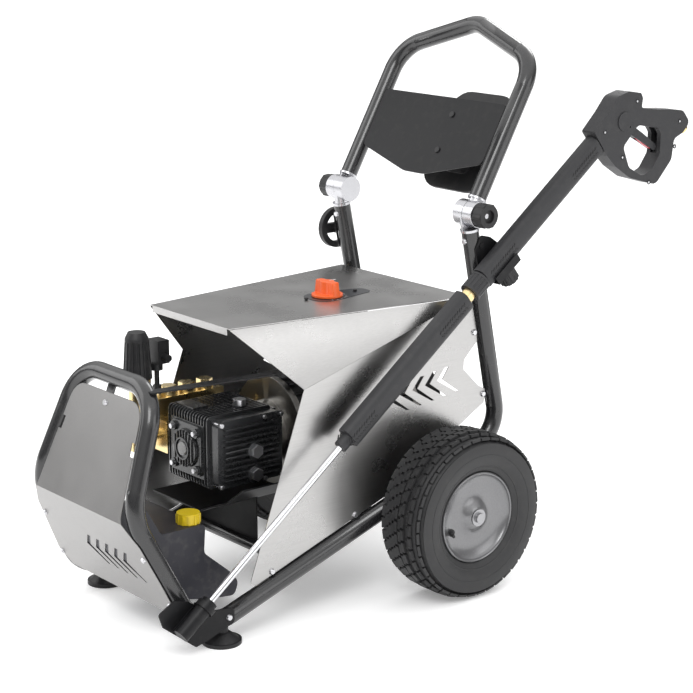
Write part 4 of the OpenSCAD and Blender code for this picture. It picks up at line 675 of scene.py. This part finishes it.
@dataclass
class Wheels(Assembly):
    """Turf tyres on pressed rims."""

    tyre_r: float = 165.0
    rim_r: float = 90.0
    width: float = 122.0
    tread_depth: float = 5.0
    rows: int = 6
    round_count: int = 40
    hub_half: float = 49.0
    bore_r: float = 10.3
    block_wide: float = 0.46
    block_long: float = 0.82
    block_shift: float = 0.1

    def build(self) -> None:
        """Builds both wheels."""
        for side in ("left", "right"):
            self.tyre(side)
            self.rim(side)

    def rim(self, side: str) -> None:
        """A pressed rim, dished on its outer face, with a valve.

        Args:
            side: left or right.
        """
        low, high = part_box(f"rim_{side}")
        outward = 1 if side == "right" else -1
        place = basis((low + high) / 2, Vector((outward, 0, 0)), Vector((0, 1, 0)))
        half = (high.x - low.x) / 2 / MM
        hub = self.hub_half
        face = [(self.rim_r, half - 4.0), (89.4, half - 1.2), (87.6, half), (85.6, half - 1.2),
                (84.8, half - 4.4), (80.0, half - 8.5), (66.0, half - 13.5), (50.0, half - 15.5),
                (36.0, half - 14.0), (27.0, half - 9.0), (21.5, half - 2.5), (18.6, hub - 0.6), (17.6, hub)]
        bore = [(self.bore_r, hub), (self.bore_r, -hub)]
        back = [(17.6, -hub), (18.6, 0.6 - hub), (21.5, half - 16.0), (36.0, half - 18.5),
                (66.0, half - 18.0), (77.5, half - 14.5), (78.5, 20.0), (74.0, 6.0), (74.0, -14.0),
                (79.0, -20.0), (82.5, 8.0 - half), (85.4, 1.4 - half), (87.8, -half), (89.6, 1.4 - half),
                (self.rim_r, 4.0 - half), (86.5, 10.0 - half), (83.0, -18.0), (77.5, -12.5), (77.5, 5.0),
                (83.0, 20.0), (86.5, half - 10.0)]
        loop = [(r * MM, w * MM) for r, w in face + bore + back]
        shape = bmesh.new()
        lathe(shape, loop + [loop[0]], place, 96)
        made = self.shop.piece(f"rim_{side}_pressed", shape, f"wheel_{side}", "rim", smooth=40.0)
        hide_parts(f"rim_{side}")
        self.valve(side, place, (half - 12.8) * MM)

    def valve(self, side: str, place: Matrix, height: float) -> None:
        """Rubber grommet and valve in the dish.

        Args:
            side: left or right.
            place: The wheel's frame.
            height: Where the dish is, in metres from the middle plane.
        """
        seat = place @ Matrix.Rotation(math.radians(200), 4, "Z") @ Matrix.Translation((0.063, 0, height))
        lean = seat @ Matrix.Rotation(math.radians(24), 4, "Y")
        rubber = bmesh.new()
        lathe(rubber, [(0, -0.001), (0.0075, -0.001), (0.0078, 0.0012), (0.0052, 0.0026), (0.0042, 0.010),
                       (0.0034, 0.0108), (0, 0.0108)], lean, 32)
        self.shop.piece(f"valve_rubber_{side}", rubber, f"wheel_{side}", "black_plastic", smooth=50.0)
        cap = bmesh.new()
        lathe(cap, [(0, 0.0106), (0.0031, 0.0106), (0.0031, 0.0172), (0.0024, 0.018), (0, 0.018)], lean, 24)
        self.shop.piece(f"valve_cap_{side}", cap, f"wheel_{side}", "black_plastic", smooth=40.0)

    def contour(self, t: float, shrink: float) -> tuple[float, float]:
        """Radius and width station of the tread's curve.

        Args:
            t: Station from -1 at one shoulder to 1 at the other.
            shrink: How far below the tread's top, in millimetres.

        Returns:
            Radius and distance from the middle plane, in millimetres.
        """
        half = self.width / 2 - 6.0
        return self.tyre_r - shrink - 13.0 * abs(t) ** 2.6, half * t

    def tyre(self, side: str) -> None:
        """A tyre with square blocks over its crown and fine rings on its sidewalls.

        Args:
            side: left or right.
        """
        low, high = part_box(f"tyre_{side}")
        middle = (low + high) / 2
        place = basis(middle, Vector((1, 0, 0)), Vector((0, 1, 0)))
        half = (high.x - low.x) / 2 - 0.0006
        shape = bmesh.new()
        deep = self.tread_depth
        crown = [self.contour(i / 8, deep) for i in range(-8, 9)]
        shoulder = [(148.0, half / MM - 2.2), (140.0, half / MM - 0.6), (130.0, half / MM),
                    (119.0, half / MM - 0.8), (110.0, half / MM - 3.2), (102.0, half / MM - 7.4),
                    (96.0, half / MM - 11.0), (92.5, half / MM - 12.5), (90.4, half / MM - 15.5)]
        profile = [(r, -w) for r, w in reversed(shoulder)] + crown + [(r, w) for r, w in shoulder]
        inside = [(91.5, half / MM - 22.0), (118.0, half / MM - 9.0), (140.0, half / MM - 10.0),
                  (150.0, 30.0), (152.5, 0.0), (150.0, -30.0), (140.0, 10.0 - half / MM),
                  (118.0, 9.0 - half / MM), (91.5, 22.0 - half / MM)]
        loop = profile + inside
        lathe(shape, [(r * MM, w * MM) for r, w in loop + [loop[0]]], place, 120)
        self.blocks(shape, place)
        self.sidewall(shape, place, half)
        made = self.shop.piece(f"tyre_{side}_tread", shape, f"wheel_{side}", "tyre", smooth=40.0)
        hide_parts(f"tyre_{side}")

    def blocks(self, shape: bmesh.types.BMesh, place: Matrix) -> None:
        """Rows of tread blocks, every second row half a step further round.

        Args:
            shape: The bmesh that they are added to.
            place: The wheel's frame.
        """
        step = math.tau / self.round_count
        pitch = 2.0 / self.rows
        for row in range(self.rows):
            t = -1 + pitch * (row + 0.5)
            radius, across = self.contour(t, self.tread_depth + 1.5)
            edge_r, edge_a = self.contour(t + pitch / 2, self.tread_depth + 1.5)
            lean = math.atan2(radius - edge_r, edge_a - across)
            outer = row in (0, self.rows - 1)
            run = 2 * math.pi * self.tyre_r / self.round_count * MM
            wide = (self.width - 12) / self.rows * MM
            high = (self.tread_depth + (0.4 if outer else 0.6)) * MM
            for i in range(self.round_count):
                turn = Matrix.Rotation(step * (i + 0.5 * (row % 2)), 4, "Z")
                stand = Matrix.Translation((radius * MM, 0, across * MM))
                face = Matrix.Rotation(math.radians(90) + lean * 0.9, 4, "Y")
                spot = place @ turn @ stand @ face
                for half in (-1, 1):
                    nudge = Matrix.Translation((half * wide * 0.22, half * self.block_shift * run, 0))
                    size = (wide * self.block_wide, run * self.block_long, high)
                    block(shape, size, spot @ nudge, 0.95)

    def sidewall(self, shape: bmesh.types.BMesh, place: Matrix, half: float) -> None:
        """Fine rings on each sidewall.

        Args:
            shape: The bmesh that they are added to.
            place: The wheel's frame.
            half: Half the tyre's width in metres.
        """
        for side in (-1, 1):
            for radius, width in ((126.0, half - 0.2 * MM), (103.5, half - 6.6 * MM)):
                ring = [(radius - 1.6, -0.6), (radius - 0.9, 0.5), (radius + 0.9, 0.5), (radius + 1.6, -0.6)]
                lathe(shape, [(r * MM, side * (width + w * MM)) for r, w in ring + [ring[0]]], place, 120)


@dataclass
class Lance(Assembly):
    """Lance, gun and the brackets that hold them."""

    x: float = 240.0
    z: float = 544.6
    slope: float = 37.7
    sleeve_w: float = 34.0
    gun_w: float = 36.0
    rib_pitch: float = 7.5
    rib_rows: int = 11
    screws: tuple[tuple[float, float], ...] = ((512, 14), (520, -62), (618, 2), (648, -150), (690, -118),
                                               (548, -158))

    def build(self) -> None:
        """Builds the lance and the gun."""
        self.refine_all({"lance_holder": 0.6, "holder_knob": 1.2, "lance_socket": 0.6, "lance_pipe": 0.0,
                         "lance_nozzle": 0.4, "lance_nipple": 0.4, "lance_sleeve": 1.0, "coupling_nut": 1.0,
                         "gun_sleeve": 1.0, "gun_shell_left": 0.7, "gun_shell_right": 0.7, "gun_valve": 0.4,
                         "trigger": 0.8, "trigger_latch": 0.8})
        self.sleeve_ribs("lance_sleeve")
        self.sleeve_ribs("gun_sleeve")
        self.gun_screws()

    def local(self, t: float, s: float, x: float, side: int) -> Matrix:
        """Frame on a side face of the lance, with +Z outward and +X along the lance.

        Args:
            t: Distance along the lance, in millimetres.
            s: Distance above its centre line.
            x: Distance out from its middle plane.
            side: 1 for the outer face, -1 for the inner one.

        Returns:
            The matrix.
        """
        turn = math.radians(self.slope)
        along = Vector((0, math.cos(turn), math.sin(turn)))
        up = Vector((0, -math.sin(turn), math.cos(turn)))
        origin = at(self.x + side * x, 0, self.z) + (along * t + up * s) * MM
        return basis(origin, Vector((side, 0, 0)), along)

    def stations(self, node: str) -> tuple[float, float]:
        """Where a node starts and ends along the lance, in millimetres."""
        turn = math.radians(self.slope)
        spots = [((v.co.y - OFFSET) * math.cos(turn) + (v.co.z - self.z * MM) * math.sin(turn)) / MM
                 for v in frame["nodes"][node].data.vertices]
        return min(spots), max(spots)

    def sleeve_ribs(self, node: str) -> None:
        """Rows of slanted grip ribs near both ends of a sleeve, on both faces.

        Args:
            node: The sleeve.
        """
        start, end = self.stations(node)
        shape = bmesh.new()
        for side in (-1, 1):
            for first, step in ((start + 16, 1), (end - 16, -1)):
                for i in range(self.rib_rows):
                    for s, lean in ((5.2, 38), (-5.2, -38)):
                        spot = self.local(first + step * i * self.rib_pitch, s, self.sleeve_w / 2 - 0.4, side)
                        turn = Matrix.Rotation(math.radians(lean * side), 4, "Z")
                        block(shape, (9.5 * MM, 2.4 * MM, 1.3 * MM), spot @ turn, 0.7)
        self.shop.piece(f"{node}_ribs", shape, "lance", "black_plastic", smooth=30.0)

    def gun_screws(self) -> None:
        """Recessed screws on the gun's outer shell."""
        rings, heads = bmesh.new(), bmesh.new()
        for t, s in self.screws:
            spot = self.local(t, s, self.gun_w / 2 - 0.3, 1)
            ring = [(2.6, 0.0), (4.6, 0.0), (4.6, 0.9), (4.1, 1.3), (3.0, 1.3), (2.6, 0.9), (2.6, 0.0)]
            lathe(rings, [(r * MM, h * MM) for r, h in ring], spot, 28)
            disc(heads, 2.4 * MM, 0.8 * MM, spot, 20, 0.2 * MM)
        self.shop.piece("gun_screw_wells", rings, "lance", "black_plastic", smooth=40.0)
        self.shop.piece("gun_screw_heads", heads, "lance", "zinc", smooth=40.0)


@dataclass
class Studio:
    """Camera, lights and floor."""

    place: tuple[float, float, float] = (2.9238, -2.4112, 1.3895)
    turn: float = 50.95
    rise: float = 14.01
    lens: float = 100.6

    def build(self) -> None:
        """Builds the studio."""
        self.camera()
        self.floor()
        self.light("key", (2.2, -2.6, 3.4), 62.0, 1.8)
        self.light("fill", (-2.6, -2.4, 2.2), 38.0, 2.6)
        self.light("rim", (-1.2, 3.0, 2.8), 45.0, 1.8)
        self.light("side", (3.4, 1.2, 1.4), 22.0, 2.0)

    def camera(self) -> None:
        """A long lens from the front right."""
        data = bpy.data.cameras.new("camera")
        data.lens = self.lens
        data.sensor_width = 36.0
        data.clip_end = 50.0
        made = bpy.data.objects.new("camera", data)
        turn, rise = math.radians(self.turn), math.radians(self.rise)
        back = Vector((math.sin(turn) * math.cos(rise), -math.cos(turn) * math.cos(rise), math.sin(rise)))
        right = Vector((math.cos(turn), math.sin(turn), 0))
        made.matrix_world = basis(Vector(self.place), back, right)
        bpy.context.scene.collection.objects.link(made)
        bpy.context.scene.camera = made

    def light(self, name: str, place: tuple[float, float, float], power: float, size: float) -> None:
        """A soft box that faces the machine.

        Args:
            name: Its name.
            place: Where it stands, in metres.
            power: Its power in watts.
            size: Its side in metres.
        """
        data = bpy.data.lights.new(name, "AREA")
        data.energy = power
        data.size = size
        made = bpy.data.objects.new(name, data)
        aim = Vector(place) - Vector((0, 0, 0.5))
        made.matrix_world = basis(Vector(place), aim, aim.cross(Vector((0, 0, 1))))
        bpy.context.scene.collection.objects.link(made)

    def floor(self) -> None:
        """A pale floor, and a white surround."""
        shape = bmesh.new()
        bmesh.ops.create_grid(shape, x_segments=1, y_segments=1, size=30.0)
        mesh = bpy.data.meshes.new("floor")
        shape.to_mesh(mesh)
        shape.free()
        made = bpy.data.objects.new("floor", mesh)
        bpy.context.scene.collection.objects.link(made)
        paint = bpy.data.materials.new("floor_paint")
        paint.use_nodes = True
        shader = paint.node_tree.nodes["Principled BSDF"]
        shader.inputs["Base Color"].default_value = (0.93, 0.93, 0.93, 1.0)
        shader.inputs["Roughness"].default_value = 0.85
        shader.inputs["Emission Color"].default_value = (1.0, 1.0, 1.0, 1.0)
        shader.inputs["Emission Strength"].default_value = 0.22
        mesh.materials.append(paint)
        self.surround()

    @staticmethod
    def surround() -> None:
        """White for the camera, and for the rest a sky that is dark low down and bright overhead."""
        world = bpy.data.worlds.new("surround")
        world.use_nodes = True
        nodes, links = world.node_tree.nodes, world.node_tree.links
        back = nodes["Background"]
        where = nodes.new("ShaderNodeTexCoord")
        split = nodes.new("ShaderNodeSeparateXYZ")
        links.new(where.outputs["Generated"], split.inputs[0])
        sky = nodes.new("ShaderNodeMapRange")
        sky.interpolation_type = "SMOOTHSTEP"
        sky.inputs["From Min"].default_value = 0.05
        sky.inputs["From Max"].default_value = 0.85
        sky.inputs["To Min"].default_value = 0.16
        sky.inputs["To Max"].default_value = 1.5
        links.new(split.outputs["Z"], sky.inputs["Value"])
        path = nodes.new("ShaderNodeLightPath")
        seen = nodes.new("ShaderNodeMix")
        seen.inputs["B"].default_value = 1.0
        links.new(path.outputs["Is Camera Ray"], seen.inputs["Factor"])
        links.new(sky.outputs[0], seen.inputs["A"])
        links.new(seen.outputs["Result"], back.inputs["Strength"])
        back.inputs["Color"].default_value = (1.0, 1.0, 1.0, 1.0)
        bpy.context.scene.world = world


def main() -> None:
    """Builds every sub-assembly in order, and then the studio."""
    logging.basicConfig(level=logging.INFO, format="%(message)s")
    shop = Workshop()
    for kind in (Trolley, Cover, Motor, Pump, Tank, Handle, Wheels, Lance):
        LOG.info("building %s", kind.__name__)
        kind(shop).build()
    bpy.context.scene.view_settings.view_transform = "Standard"
    Studio().build()


if __name__ == "__main__":
    main()
